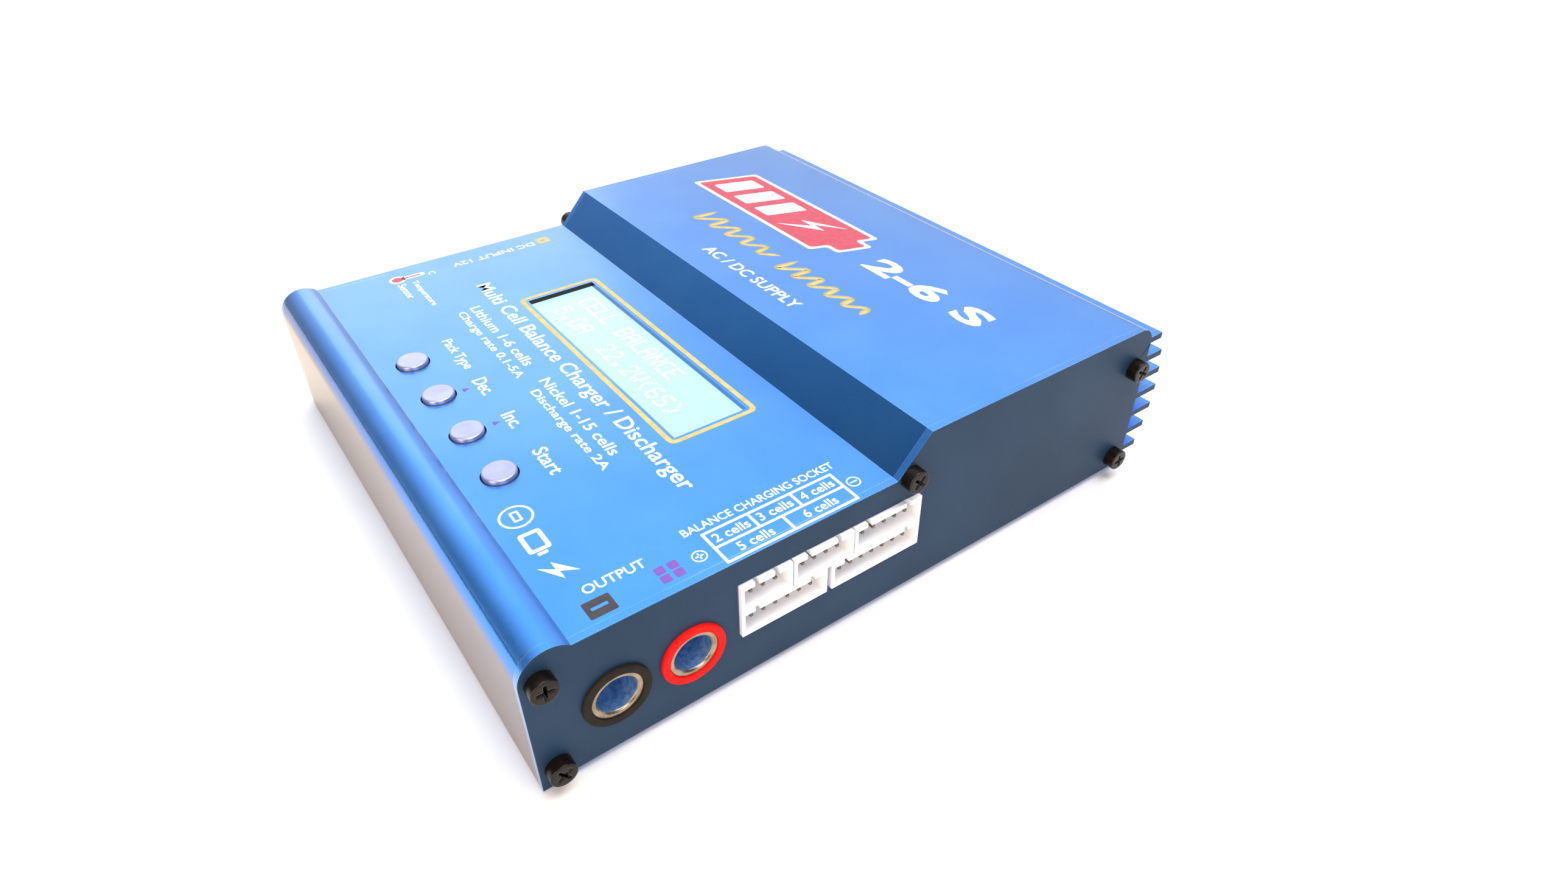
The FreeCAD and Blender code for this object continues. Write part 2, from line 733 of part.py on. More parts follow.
spacers = []
board_screws = []
for order, spot in enumerate(main_spots + power_spots):
    spacer = new_body(f"board_spacer_{order}")
    spacer_sketch = pad(spacer, "z", base_top, board_low, f"board_spacer_{order}_turning")
    draw_circle(spacer_sketch, spot[0], spot[1], dim.spacer_radius)
    draw_circle(spacer_sketch, spot[0], spot[1], dim.board_screw_radius + dim.screw_gap)
    spacers.append(spacer)
    length = dim.board_standoff + dim.board_thickness
    board_screws.append(pan_screw(
        f"board_screw_{order}", (spot[0], spot[1], board_top), UPRIGHT,
        dim.board_screw_radius, length, dim.board_screw_head, dim.board_head_height,
    ))
keep(group("board_spacers", spacers), "board_spacers")
keep(group("board_screws", board_screws), "board_screws")

# ---------------------------------------------------------------------------------------------
# Display, under its window in the low deck
# ---------------------------------------------------------------------------------------------

bezel_top = under_low_deck - dim.display_gap
glass_top = bezel_top - dim.bezel_sheet
glass_low = glass_top - dim.glass_thickness
light_low = glass_low - dim.backlight_thickness
display_low = light_low - dim.board_thickness
bezel_across = shrink(window_across, -dim.bezel_margin)
bezel_along = shrink(window_along, -dim.bezel_margin)
inside = dim.bezel_sheet + dim.display_gap / 2

bezel = new_body("lcd_bezel")
draw_rectangle(pad(bezel, "z", light_low, bezel_top, "bezel_block"), bezel_across, bezel_along)
draw_rectangle(
    pocket(bezel, "z", light_low, glass_top, "bezel_inside"),
    shrink(bezel_across, dim.bezel_sheet), shrink(bezel_along, dim.bezel_sheet),
)
draw_rectangle(
    pocket(bezel, "z", glass_top, bezel_top, "bezel_view"),
    shrink(window_across, -dim.view_margin), shrink(window_along, -dim.view_margin),
)
keep(bezel, "lcd_bezel")
glass_across = shrink(bezel_across, inside)
glass_along = shrink(bezel_along, inside)
glass_slab = box("glass_slab", glass_across, glass_along, (glass_low, glass_top))
pane = box(
    "glass_pane", shrink(window_across, dim.pane_gap), shrink(window_along, dim.pane_gap),
    (glass_top, low_deck - dim.pane_sink),
)
keep(joined("lcd_glass", [glass_slab, pane]), "lcd_glass")
keep(box("lcd_backlight", glass_across, glass_along, (light_low, glass_low)), "lcd_backlight")

display_middle = front + dim.window_centre
display_across = around(as_size(0), dim.display_board_length)
display_along = around(display_middle, dim.display_board_width)
display_spots = [
    (across, along)
    for across in shrink(display_across, dim.spacer_radius)
    for along in shrink(display_along, dim.spacer_radius)
]
board("lcd_board", display_across, display_along, display_low, display_spots)
display_spacers = [
    rod(f"lcd_spacer_{order}", dim.spacer_radius, display_low - board_top, (spot[0], spot[1], board_top))
    for order, spot in enumerate(display_spots)
]
keep(group("lcd_spacers", display_spacers), "lcd_spacers")

PIN_COUNT = 16
pin_along = display_along[0] + dim.pin_pitch / 2
first_pin = display_across[0] + dim.spacer_radius * 3
link_pins = []
for order in range(PIN_COUNT):
    across = first_pin + dim.pin_pitch * order
    link_pins.append(box(
        f"lcd_link_pin_{order}",
        around(across, dim.pin_side), around(pin_along, dim.pin_side), (board_top, display_low),
    ))
keep(group("lcd_link_pins", link_pins), "lcd_link_pins")

# ---------------------------------------------------------------------------------------------
# Keys: a cap in the deck, the stem of its switch, the switch body and the board under them
# ---------------------------------------------------------------------------------------------

collar_top = under_low_deck - dim.key_lift
collar_low = collar_top - dim.key_collar_height
cap_low = collar_low
cap_top = low_deck + dim.key_proud
switch_top = cap_low - dim.key_travel - dim.key_lift
stem_top = cap_low + dim.stem_grip
switch_low = switch_top - dim.switch_height
keypad_low = switch_low - dim.board_thickness
collar_radius = dim.key_radius + dim.key_collar
stem_low = switch_top - dim.key_travel * 3

cap_profile = [
    (0, stem_top),
    (dim.stem_radius, stem_top),
    (dim.stem_radius, cap_low),
    (collar_radius, cap_low),
    (collar_radius, collar_top),
    (dim.key_radius, collar_top),
    (dim.key_radius, cap_top - dim.key_edge, -dim.key_edge),
    (dim.key_radius - dim.key_edge, cap_top),
    (0, cap_top),
]
stem_profile = [
    (0, stem_low),
    (dim.stem_radius, stem_low),
    (dim.stem_radius, stem_top),
    (0, stem_top),
]
key_names = ["battery_type", "decrease", "increase", "start"]
for name, (across, along) in zip(key_names, key_places):
    keep(turned(f"{name}_button", cap_profile, (across, along, 0)), f"{name}_button")
    keep(turned(f"{name}_stem", stem_profile, (across, along, 0)), f"{name}_stem")

stem_well = dim.stem_radius + dim.screw_gap
switches = []
for order, (across, along) in enumerate(key_places):
    switch = new_body(f"switch_{order}")
    draw_rectangle(
        pad(switch, "z", switch_low, switch_top, f"switch_{order}_case"),
        around(across, dim.switch_side), around(along, dim.switch_side),
    )
    well = pocket(switch, "z", stem_low - dim.key_travel * 2, switch_top, f"switch_{order}_well")
    draw_circle(well, across, along, stem_well)
    switches.append(switch)
keep(group("key_switches", switches), "key_switches")

keypad_across = (key_places[0][0] - dim.keypad_margin, key_places[-1][0] + dim.keypad_margin)
keypad_along = around(key_places[0][1], dim.keypad_width)
keypad_spots = [
    (across, along)
    for across in shrink(keypad_across, dim.spacer_radius)
    for along in shrink(keypad_along, dim.spacer_radius)
]
board("keypad_board", keypad_across, keypad_along, keypad_low, keypad_spots)
keypad_spacers = [
    rod(f"keypad_spacer_{order}", dim.spacer_radius, keypad_low - board_top, (spot[0], spot[1], board_top))
    for order, spot in enumerate(keypad_spots)
]
keep(group("keypad_spacers", keypad_spacers), "keypad_spacers")

# ---------------------------------------------------------------------------------------------
# Output sockets: a coloured insulator, a metal sleeve, a nut and a lead each
# ---------------------------------------------------------------------------------------------

barrel_back = -dim.barrel_length
sleeve_face = dim.ring_proud - dim.ring_edge
inner_radius = dim.sleeve_radius + dim.sleeve_gap
insulator_profile = [
    (inner_radius, barrel_back),
    (barrel_radius, barrel_back),
    (barrel_radius, 0),
    (dim.ring_radius, 0),
    (dim.ring_radius, sleeve_face, -dim.ring_edge),
    (dim.ring_radius - dim.ring_edge, dim.ring_proud),
    (inner_radius, dim.ring_proud),
]
contact_mouth = sleeve_face - dim.mouth_depth
contact_end = contact_mouth - dim.contact_depth
tail_radius = dim.contact_radius + dim.sleeve_wall
tail_end = contact_end - dim.sleeve_wall
sleeve_profile = [
    (dim.contact_radius, contact_mouth),
    (dim.mouth_radius, contact_mouth),
    (dim.mouth_radius, sleeve_face - dim.mouth_chamfer),
    (dim.mouth_radius + dim.mouth_chamfer, sleeve_face),
    (dim.sleeve_radius, sleeve_face),
    (dim.sleeve_radius, barrel_back),
    (tail_radius, barrel_back),
    (tail_radius, tail_end),
    (0, tail_end),
    (0, contact_end),
    (dim.contact_radius, contact_end),
]
nut_high = -dim.plate_thickness
nut_low = nut_high - dim.nut_thickness
nut_profile = [
    (barrel_radius, nut_low),
    (barrel_radius + dim.nut_wall, nut_low),
    (barrel_radius + dim.nut_wall, nut_high),
    (barrel_radius, nut_high),
]
nuts = []
LEAD_TURN = FreeCAD.Rotation(FreeCAD.Vector(0, 0, 1), FreeCAD.Vector(-1, 0, 0), FreeCAD.Vector(0, -1, 0))
for name, axis in zip(("negative", "positive"), socket_axes):
    place = (right, axis, socket_axis_height)
    keep(turned(f"{name}_socket_ring", insulator_profile, place, ALONG_X), f"{name}_socket_ring")
    keep(turned(f"{name}_socket_sleeve", sleeve_profile, place, ALONG_X), f"{name}_socket_sleeve")
    nuts.append(turned(f"{name}_socket_nut", nut_profile, place, ALONG_X))
    lead_end = right + tail_end
    lead_bottom = socket_axis_height - dim.lead_bend
    corner = bend(
        f"{name}_lead_bend", dim.lead_radius, dim.lead_bend,
        (lead_end, axis, lead_bottom), LEAD_TURN,
    )
    drop = rod(
        f"{name}_lead_drop", dim.lead_radius, lead_bottom - board_top,
        (lead_end - dim.lead_bend, axis, board_top),
    )
    keep(joined(f"{name}_lead", [corner, drop]), f"{name}_lead")
keep(group("socket_nuts", nuts), "socket_nuts")

# ---------------------------------------------------------------------------------------------
# Balance sockets: two rows on an upright board behind the end plate
# ---------------------------------------------------------------------------------------------

header_mouth = right + dim.header_proud
header_back = header_mouth - dim.header_depth
balance_low = header_back - dim.board_thickness
balance_along = (header_start - dim.board_gap, header_start + upper_length + dim.board_gap)
balance_tall = (board_top, header_top + dim.board_gap)
balance = new_body("balance_board")
balance_sheet = pad(balance, "x", balance_low, header_back, "balance_laminate")
draw_rectangle(balance_sheet, balance_along, balance_tall)
balance_holes = pocket(balance, "x", balance_low, header_back, "balance_pin_holes")
keep(balance, "balance_board")


def pin_sections(pins, first, level):
    """The square section of each pin of a row, across and up."""
    return [
        (around(first + dim.pin_pitch * order, dim.pin_side), around(level, dim.pin_side))
        for order in range(pins)
    ]


def pin_row(name, sections, low, high):
    """A row of square pins along X."""
    row = [
        box(f"{name}_{order}", (low, high), across, up)
        for order, (across, up) in enumerate(sections)
    ]
    return keep(group(name, row), name)


def header(name, pins, start, low, back_face, mouth):
    """A shrouded pin socket that opens along X, with two key notches in its upper wall."""
    width = header_width(pins)
    end = start + width
    top = low + dim.header_height
    outward = mouth.value > back_face.value
    depth_low, depth_high = (back_face, mouth) if outward else (mouth, back_face)
    floor_side = back_face + dim.header_floor if outward else back_face - dim.header_floor
    notch_floor = mouth - dim.notch_depth if outward else mouth + dim.notch_depth
    hollow = (floor_side, mouth) if outward else (mouth, floor_side)
    notches = (notch_floor, mouth) if outward else (mouth, notch_floor)
    body = new_body(name)
    draw_rectangle(pad(body, "x", depth_low, depth_high, name + "_block"), (start, end), (low, top))
    inner_top = top - dim.long_wall
    draw_rectangle(
        pocket(body, "x", hollow[0], hollow[1], name + "_hollow"),
        (start + dim.short_wall, end - dim.short_wall), (low + dim.short_wall, inner_top),
    )
    notch_sketch = pocket(body, "x", notches[0], notches[1], name + "_notches")
    for notch in (start + dim.notch_inset, end - dim.notch_inset - dim.notch_width):
        draw_rectangle(notch_sketch, (notch, notch + dim.notch_width), (inner_top - CLEAR, top + CLEAR))
    level = (low + dim.short_wall + inner_top) / 2
    sections = pin_sections(pins, start + dim.end_margin, level)
    floor_span = (back_face, floor_side) if outward else (floor_side, back_face)
    holes = pocket(body, "x", floor_span[0], floor_span[1], name + "_pin_holes")
    for across, up in sections:
        draw_rectangle(holes, across, up)
    keep(body, name)
    return sections


for row, low in ((lower_row, header_low), (upper_row, header_low + dim.header_height)):
    gap = (upper_length - row_width(row)) / (len(row) - 1)
    start = header_start
    for pins in row:
        cells = pins - 1
        sections = header(f"balance_socket_{cells}_cells", pins, start, low, header_back, header_mouth)
        for across, up in sections:
            draw_rectangle(balance_holes, across, up)
        pin_row(
            f"balance_pins_{cells}_cells", sections,
            balance_low - dim.pin_tail, header_mouth - dim.pin_recess,
        )
        start = start + header_width(pins) + gap

# ---------------------------------------------------------------------------------------------
# Supply side: mains inlet, low-voltage jack and temperature sensor socket
# ---------------------------------------------------------------------------------------------

sensor_mouth = left - dim.header_proud
sections = header(
    "sensor_socket", sensor_pins, sensor_along[0], sensor_low,
    sensor_mouth + dim.header_depth, sensor_mouth,
)
pin_row(
    "sensor_pins", sections,
    sensor_mouth + dim.pin_recess, sensor_mouth + dim.header_depth + dim.pin_tail,
)

flange_face = left - dim.inlet_flange
inlet_back = left + dim.inlet_depth
inlet_floor = inlet_back - dim.inlet_wall


def keyed_outline(inset):
    """The inlet's hollow: a rectangle whose two upper corners are cut."""
    low_side, high_side = around(inlet_middle[0], dim.inlet_width - inset * 2)
    bottom, top = around(inlet_middle[1], dim.inlet_tall - inset * 2)
    return [
        (low_side, bottom),
        (low_side, top - dim.inlet_corner),
        (low_side + dim.inlet_corner, top),
        (high_side - dim.inlet_corner, top),
        (high_side, top - dim.inlet_corner),
        (high_side, bottom),
    ]


inlet = new_body("mains_inlet")
draw_rectangle(
    pad(inlet, "x", left, inlet_back, "inlet_body"),
    around(inlet_middle[0], dim.inlet_width), around(inlet_middle[1], dim.inlet_tall),
)
draw_rectangle(
    pad(inlet, "x", flange_face, left, "inlet_flange"),
    around(inlet_middle[0], dim.inlet_width + dim.inlet_flange * 2),
    around(inlet_middle[1], dim.inlet_tall + dim.inlet_flange * 2),
)
draw_outline(pocket(inlet, "x", flange_face, inlet_floor, "inlet_hollow"), keyed_outline(dim.inlet_wall))
blade_slots = pocket(inlet, "x", inlet_floor, inlet_back, "blade_slots")
keep(inlet, "mains_inlet")

blade_places = [
    (inlet_middle[0] - dim.blade_pitch, inlet_middle[1] - dim.blade_drop / 2),
    (inlet_middle[0], inlet_middle[1] + dim.blade_drop / 2),
    (inlet_middle[0] + dim.blade_pitch, inlet_middle[1] - dim.blade_drop / 2),
]
blades = []
for order, (across, up) in enumerate(blade_places):
    section = (around(across, dim.blade_width), around(up, dim.blade_tall))
    draw_rectangle(blade_slots, *section)
    blade_span = (flange_face + dim.blade_recess, inlet_back + dim.blade_recess)
    blades.append(box(f"inlet_blade_{order}", blade_span, *section))
keep(group("mains_inlet_blades", blades), "mains_inlet_blades")

jack_floor = dim.jack_wall - dim.jack_depth
jack_tail = -dim.jack_depth - dim.jack_tail
jack_profile = [
    (dim.jack_bore, jack_floor),
    (dim.jack_bore, dim.inlet_flange / 2),
    (dim.jack_flange, dim.inlet_flange / 2),
    (dim.jack_flange, 0),
    (dim.jack_radius, 0),
    (dim.jack_radius, -dim.jack_depth),
    (dim.jack_pin_radius, -dim.jack_depth),
    (dim.jack_pin_radius, jack_floor),
]
jack_place = (left, jack_middle[0], jack_middle[1])
keep(turned("low_voltage_jack", jack_profile, jack_place, AGAINST_X), "low_voltage_jack")
jack_pin_profile = [
    (0, jack_tail),
    (dim.jack_pin_radius, jack_tail),
    (dim.jack_pin_radius, -dim.jack_wall),
    (0, -dim.jack_wall),
]
keep(turned("low_voltage_pin", jack_pin_profile, jack_place, AGAINST_X), "low_voltage_pin")

# ---------------------------------------------------------------------------------------------
# Power parts
# ---------------------------------------------------------------------------------------------

power_middle = (power_along[0] + power_along[1]) / 2
core_middle = right - dim.core_inset
winding_low = board_top + dim.core_window
winding_high = board_top + dim.core_height - dim.core_window

core_block = box(
    "core_block", around(core_middle, dim.core_length), around(power_middle, dim.core_width),
    (board_top, board_top + dim.core_height),
)
winding_span = (
    around(core_middle, dim.winding_length), around(power_middle, dim.winding_width),
    (winding_low, winding_high),
)
keep(cut("transformer_core", core_block, box("winding_room", *winding_span)), "transformer_core")
keep(box("transformer_winding", *winding_span), "transformer_winding")

mains_capacitor_x = core_middle - dim.core_length / 2 - dim.part_gap - dim.mains_capacitor_radius
keep(rod(
    "mains_capacitor", dim.mains_capacitor_radius, dim.mains_capacitor_height,
    (mains_capacitor_x, power_middle, board_top),
), "mains_capacitor")

output_x = core_middle + dim.core_length / 2 + dim.part_gap + dim.output_capacitor_radius
output_capacitors = [
    rod(
        f"output_capacitor_{order}", dim.output_capacitor_radius, dim.output_capacitor_height,
        (output_x, power_middle + dim.output_capacitor_pitch * (order - 1), board_top),
    )
    for order in range(3)
]
keep(group("output_capacitors", output_capacitors), "output_capacitors")

inductor = document.addObject("Part::Torus", "power_inductor")
bind(inductor, "Radius1", dim.inductor_ring)
bind(inductor, "Radius2", dim.inductor_wire)
bind_place(
    inductor, right - dim.inductor_inset, main_along[1] - dim.inductor_back, board_top + dim.inductor_wire,
)
keep(inductor, "power_inductor")

channel_low = ground + dim.back_screw_height - dim.channel_radius
transistor_high = channel_low - dim.transistor_gap
wall_face = back - dim.back_wall
transistors = []
for order in range(5):
    middle = core_middle - dim.transistor_pitch * (order - 1)
    transistors.append(box(
        f"power_transistor_{order}", around(middle, dim.transistor_width),
        (wall_face - dim.transistor_thickness, wall_face),
        (transistor_high - dim.transistor_height, transistor_high),
    ))
keep(group("power_transistors", transistors), "power_transistors")

chip_span = around(right - dim.chip_inset, dim.chip_side)
chip_along = (pin_along - dim.part_gap - dim.chip_side, pin_along - dim.part_gap)
chip_tall = (board_top, board_top + dim.chip_thickness)
keep(box("controller_chip", chip_span, chip_along, chip_tall), "controller_chip")

# ---------------------------------------------------------------------------------------------
# Checks and files
# ---------------------------------------------------------------------------------------------

document.recompute()
faults = [item.Name for item in document.Objects if "Invalid" in item.State or "Error" in item.State]
faults += [item.Label for item in nodes if item.Shape.isNull() or not item.Shape.isValid()]
if faults:
    raise RuntimeError("these objects failed: " + ", ".join(faults))

os.makedirs("parts", exist_ok=True)
for item in nodes:
    item.Shape.exportStep(f"parts/{item.Label}.step")
print(f"{len(nodes)} sub-parts written")
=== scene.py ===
# %% [markdown]
# # A balance battery charger
#
# The charger is a folded blue aluminium case with a display and four keys on its low deck, cooling
# fins along its back, and an end plate at each end that its sockets look out of. Its shape, its sizes
# and everything that moves are settled in the CAD model, which this script loads as a fixed frame.
# What is left for Blender is the look: rounded edges that catch the light, turned metal, moulded
# nylon, printed marks, and finishes with the grain and wear of the real materials.

import json
import math

import bmesh
import bpy
import numpy as np
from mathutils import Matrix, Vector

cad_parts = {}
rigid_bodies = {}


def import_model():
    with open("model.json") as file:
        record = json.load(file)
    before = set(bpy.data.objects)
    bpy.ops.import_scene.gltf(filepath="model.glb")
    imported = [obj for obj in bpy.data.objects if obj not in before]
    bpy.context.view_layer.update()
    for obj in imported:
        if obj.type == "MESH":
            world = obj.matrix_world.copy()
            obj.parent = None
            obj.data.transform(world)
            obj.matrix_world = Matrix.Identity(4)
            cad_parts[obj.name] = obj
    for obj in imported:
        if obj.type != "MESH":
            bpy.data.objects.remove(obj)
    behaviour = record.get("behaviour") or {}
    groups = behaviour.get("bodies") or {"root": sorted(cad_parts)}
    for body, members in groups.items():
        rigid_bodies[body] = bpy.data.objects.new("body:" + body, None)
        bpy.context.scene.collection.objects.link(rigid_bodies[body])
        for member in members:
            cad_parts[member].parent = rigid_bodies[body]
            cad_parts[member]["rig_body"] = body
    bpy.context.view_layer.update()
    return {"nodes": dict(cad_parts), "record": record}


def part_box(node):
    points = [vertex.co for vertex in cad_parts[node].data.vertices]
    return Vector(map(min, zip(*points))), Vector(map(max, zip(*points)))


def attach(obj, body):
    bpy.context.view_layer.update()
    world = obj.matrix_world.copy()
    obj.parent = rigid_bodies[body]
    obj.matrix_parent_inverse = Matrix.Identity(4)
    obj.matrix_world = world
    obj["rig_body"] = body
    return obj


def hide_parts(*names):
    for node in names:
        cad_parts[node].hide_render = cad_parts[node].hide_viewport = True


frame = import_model()

# %% [markdown]
# ## Sizes from the frame
#
# Blender works in metres and a maker thinks in millimetres, so every size below is in millimetres and
# MM turns it into metres. Nothing is placed by eye where the frame can say it: the heights of the two
# decks, the display's window and the faces of the end plates are measured on the CAD meshes.

# %% Measure the decks, the window and the end plates
MM = 0.001


def points_of(node):
    """The corners of a CAD node's mesh, one row of three millimetres each."""
    mesh = frame["nodes"][node].data
    flat = np.empty(len(mesh.vertices) * 3, np.float32)
    mesh.vertices.foreach_get("co", flat)
    return flat.reshape(-1, 3).astype(float) / MM


def span_of(node):
    """The lowest and highest corner of a CAD node, in millimetres."""
    low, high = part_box(node)
    return np.array(low) / MM, np.array(high) / MM


shell_low, shell_high = span_of("case_shell")
right_face = span_of("right_end_plate")[1][0]
left_face = span_of("left_end_plate")[0][0]
high_deck = shell_high[2]
bezel_low, bezel_high = span_of("lcd_bezel")
shell_points = points_of("case_shell")
near_display = np.all((shell_points > bezel_low)[:, :2] & (shell_points < bezel_high)[:, :2], axis=1)
window_rim = shell_points[near_display]
low_deck = window_rim[:, 2].max()
window_low = window_rim.min(axis=0)
window_high = window_rim.max(axis=0)
glass_top = span_of("lcd_glass")[1][2]
print("low deck", round(low_deck, 2), "high deck", round(high_deck, 2), "window", window_low, window_high)

# %% [markdown]
# ## Camera
#
# The charger is seen from its right front corner, from close above, so the near corner looms and the
# far end falls away. A short lens does that. The place is in millimetres from the middle of the
# charger's footprint, and the turn is what points the lens at it.

# %% Camera
camera_data = bpy.data.cameras.new("camera")
camera_data.sensor_width = 36
camera_data.lens = 21.642
camera_data.clip_start = 0.01
camera = bpy.data.objects.new("camera", camera_data)
camera.location = np.array((159.479, -94.851, 134.518)) * MM
camera.rotation_euler = [math.radians(angle) for angle in (53.187, -0.049, 53.767)]
bpy.context.scene.collection.objects.link(camera)
bpy.context.scene.camera = camera
print("camera at", [round(part, 3) for part in camera.location])

# %% [markdown]
# ## Light
#
# Satin metal shows what it reflects, so most of the light is the room itself: a sky that is bright
# behind and above the charger and dim in front of it. The decks reflect its bright side towards the
# camera, while the slope between them faces forwards, reflects the dim side and stays deep blue. One
# wide soft sun lights the pale floor. A panel on the left lays a sheen on the far ends of the decks,
# one on the right lights the sockets, and a warm one in front lights the front face. The camera sees
# none of them.

# %% Sky, sun and panels
SKY_AXIS = (-0.65, 0.35, 0.67)


def panel(name, place, side, power, tint=(1, 1, 1)):
    """A square soft light that looks at the charger. Place and side are in millimetres."""
    data = bpy.data.lights.new(name, "AREA")
    data.size = side * MM
    data.energy = power
    data.color = tint
    light = bpy.data.objects.new(name, data)
    light.location = np.array(place) * MM
    light.rotation_euler = (-light.location).to_track_quat("-Z", "Y").to_euler()
    light.visible_camera = False
    bpy.context.scene.collection.objects.link(light)


panel("left_panel", (-800, 130, 380), 420, 0.55)
panel("right_panel", (650, -120, 420), 380, 1.7)
panel("front_panel", (250, -620, 260), 380, 3.0, (1.0, 0.74, 0.5))

sun_data = bpy.data.lights.new("sun", "SUN")
sun_data.energy = 3.1
sun_data.angle = math.radians(50)
sun = bpy.data.objects.new("sun", sun_data)
sun.rotation_euler = (math.radians(-12), math.radians(6), 0)
bpy.context.scene.collection.objects.link(sun)

world = bpy.data.worlds.new("studio")
world.use_nodes = True
bpy.context.scene.world = world
bpy.context.scene.view_settings.view_transform = "Standard"
print("a sky, a soft sun and three panels")

# %% [markdown]
# ## From arrays to pieces
#
# A new piece is a surface worked out with numpy: a grid of points, which are all computed at once,
# and the faces between them. The helper below puts the arrays into a mesh, merges the points that
# fall together at a pole or a seam, and turns every face outwards.

# %% Grids, meshes and pieces
def grid_faces(rows, columns, rows_meet=False, columns_meet=False):
    """Each face joins a point with the next along its row and the same two in the next row."""
    down = np.arange(rows if rows_meet else rows - 1)
    along = np.arange(columns if columns_meet else columns - 1)
    row, column = np.meshgrid(down, along, indexing="ij")
    next_row = (row + 1) % rows
    next_column = (column + 1) % columns
    corners = ((row, column), (row, next_column), (next_row, next_column), (next_row, column))
    return np.stack([(r * columns + c).ravel() for r, c in corners], axis=1)


def finish_mesh(mesh):
    """Merges the points that coincide, turns the faces outwards and shades them smooth."""
    work = bmesh.new()
    work.from_mesh(mesh)
    bmesh.ops.remove_doubles(work, verts=work.verts, dist=1e-7)
    bmesh.ops.recalc_face_normals(work, faces=work.faces)
    work.to_mesh(mesh)
    work.free()
    mesh.polygons.foreach_set("use_smooth", np.ones(len(mesh.polygons), bool))


def place_piece(name, mesh, material, replaced, body):
    """A mesh in its place becomes a piece that rides on a body and stands for CAD nodes."""
    mesh.materials.clear()
    mesh.materials.append(material)
    piece = bpy.data.objects.new(name, mesh)
    bpy.context.scene.collection.objects.link(piece)
    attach(piece, body)
    if replaced:
        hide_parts(*replaced)
    return piece


def make_piece(name, points, faces, material, replaced=(), body="case", slot=None):
    """A piece from points in millimetres and faces as rows of point numbers."""
    mesh = bpy.data.meshes.new(name)
    mesh.from_pydata((np.reshape(points, (-1, 3)) * MM).tolist(), [], np.asarray(faces).tolist())
    finish_mesh(mesh)
    return place_piece(name, mesh, material, replaced, body)


# %% [markdown]
# ## Finishes
#
# Every material starts from what the real one is. A hex colour is what a paint chart gives, and one
# function turns it into the linear values that the shader wants. One small function adds a node with
# its settings and its links. The first recipe below gives any finish its slow drift of colour and
# roughness, its fine grain in height, and a colour of its own where an edge is rounded, all from sizes
# in millimetres. That edge colour is wear, and on the case, the screws and the keys it is also painted
# light along the edge. Each material then says what is particular to it.

# %% Colour and node helpers
def colour(code):
    """An sRGB hex colour as linear red, green, blue and full cover."""
    parts = np.array([int(code[start:start + 2], 16) for start in (1, 3, 5)]) / 255
    linear = np.where(parts <= 0.04045, parts / 12.92, ((parts + 0.055) / 1.055) ** 2.4)
    return (*linear.tolist(), 1.0)


def add(tree, kind, inputs, **settings):
    """Adds a node, then its settings, then its inputs: a value, or the output that feeds it."""
    made = tree.nodes.new(kind)
    for key, value in settings.items():
        setattr(made, key, value)
    for key, value in inputs.items():
        if isinstance(value, bpy.types.NodeSocket):
            tree.links.new(value, made.inputs[key])
        else:
            made.inputs[key].default_value = value
    return made


def per(size):
    """A texture's scale, in repeats a metre, for a pattern of this size in millimetres."""
    return 1 / (size * MM)


# %% The sky is brightest along its axis
sky_tree = world.node_tree
direction = add(sky_tree, "ShaderNodeTexCoord", {}).outputs["Generated"]
facing = add(sky_tree, "ShaderNodeVectorMath", {0: direction, 1: SKY_AXIS}, operation="DOT_PRODUCT")
level = add(sky_tree, "ShaderNodeMapRange", {
    "Value": facing.outputs["Value"], "From Min": 0.4, "From Max": 1.0, "To Min": 0.15, "To Max": 1.05,
}, interpolation_type="SMOOTHSTEP")
sky = sky_tree.nodes["Background"]
sky.inputs["Color"].default_value = (0.96, 0.98, 1.0, 1)
sky_tree.links.new(level.outputs[0], sky.inputs["Strength"])

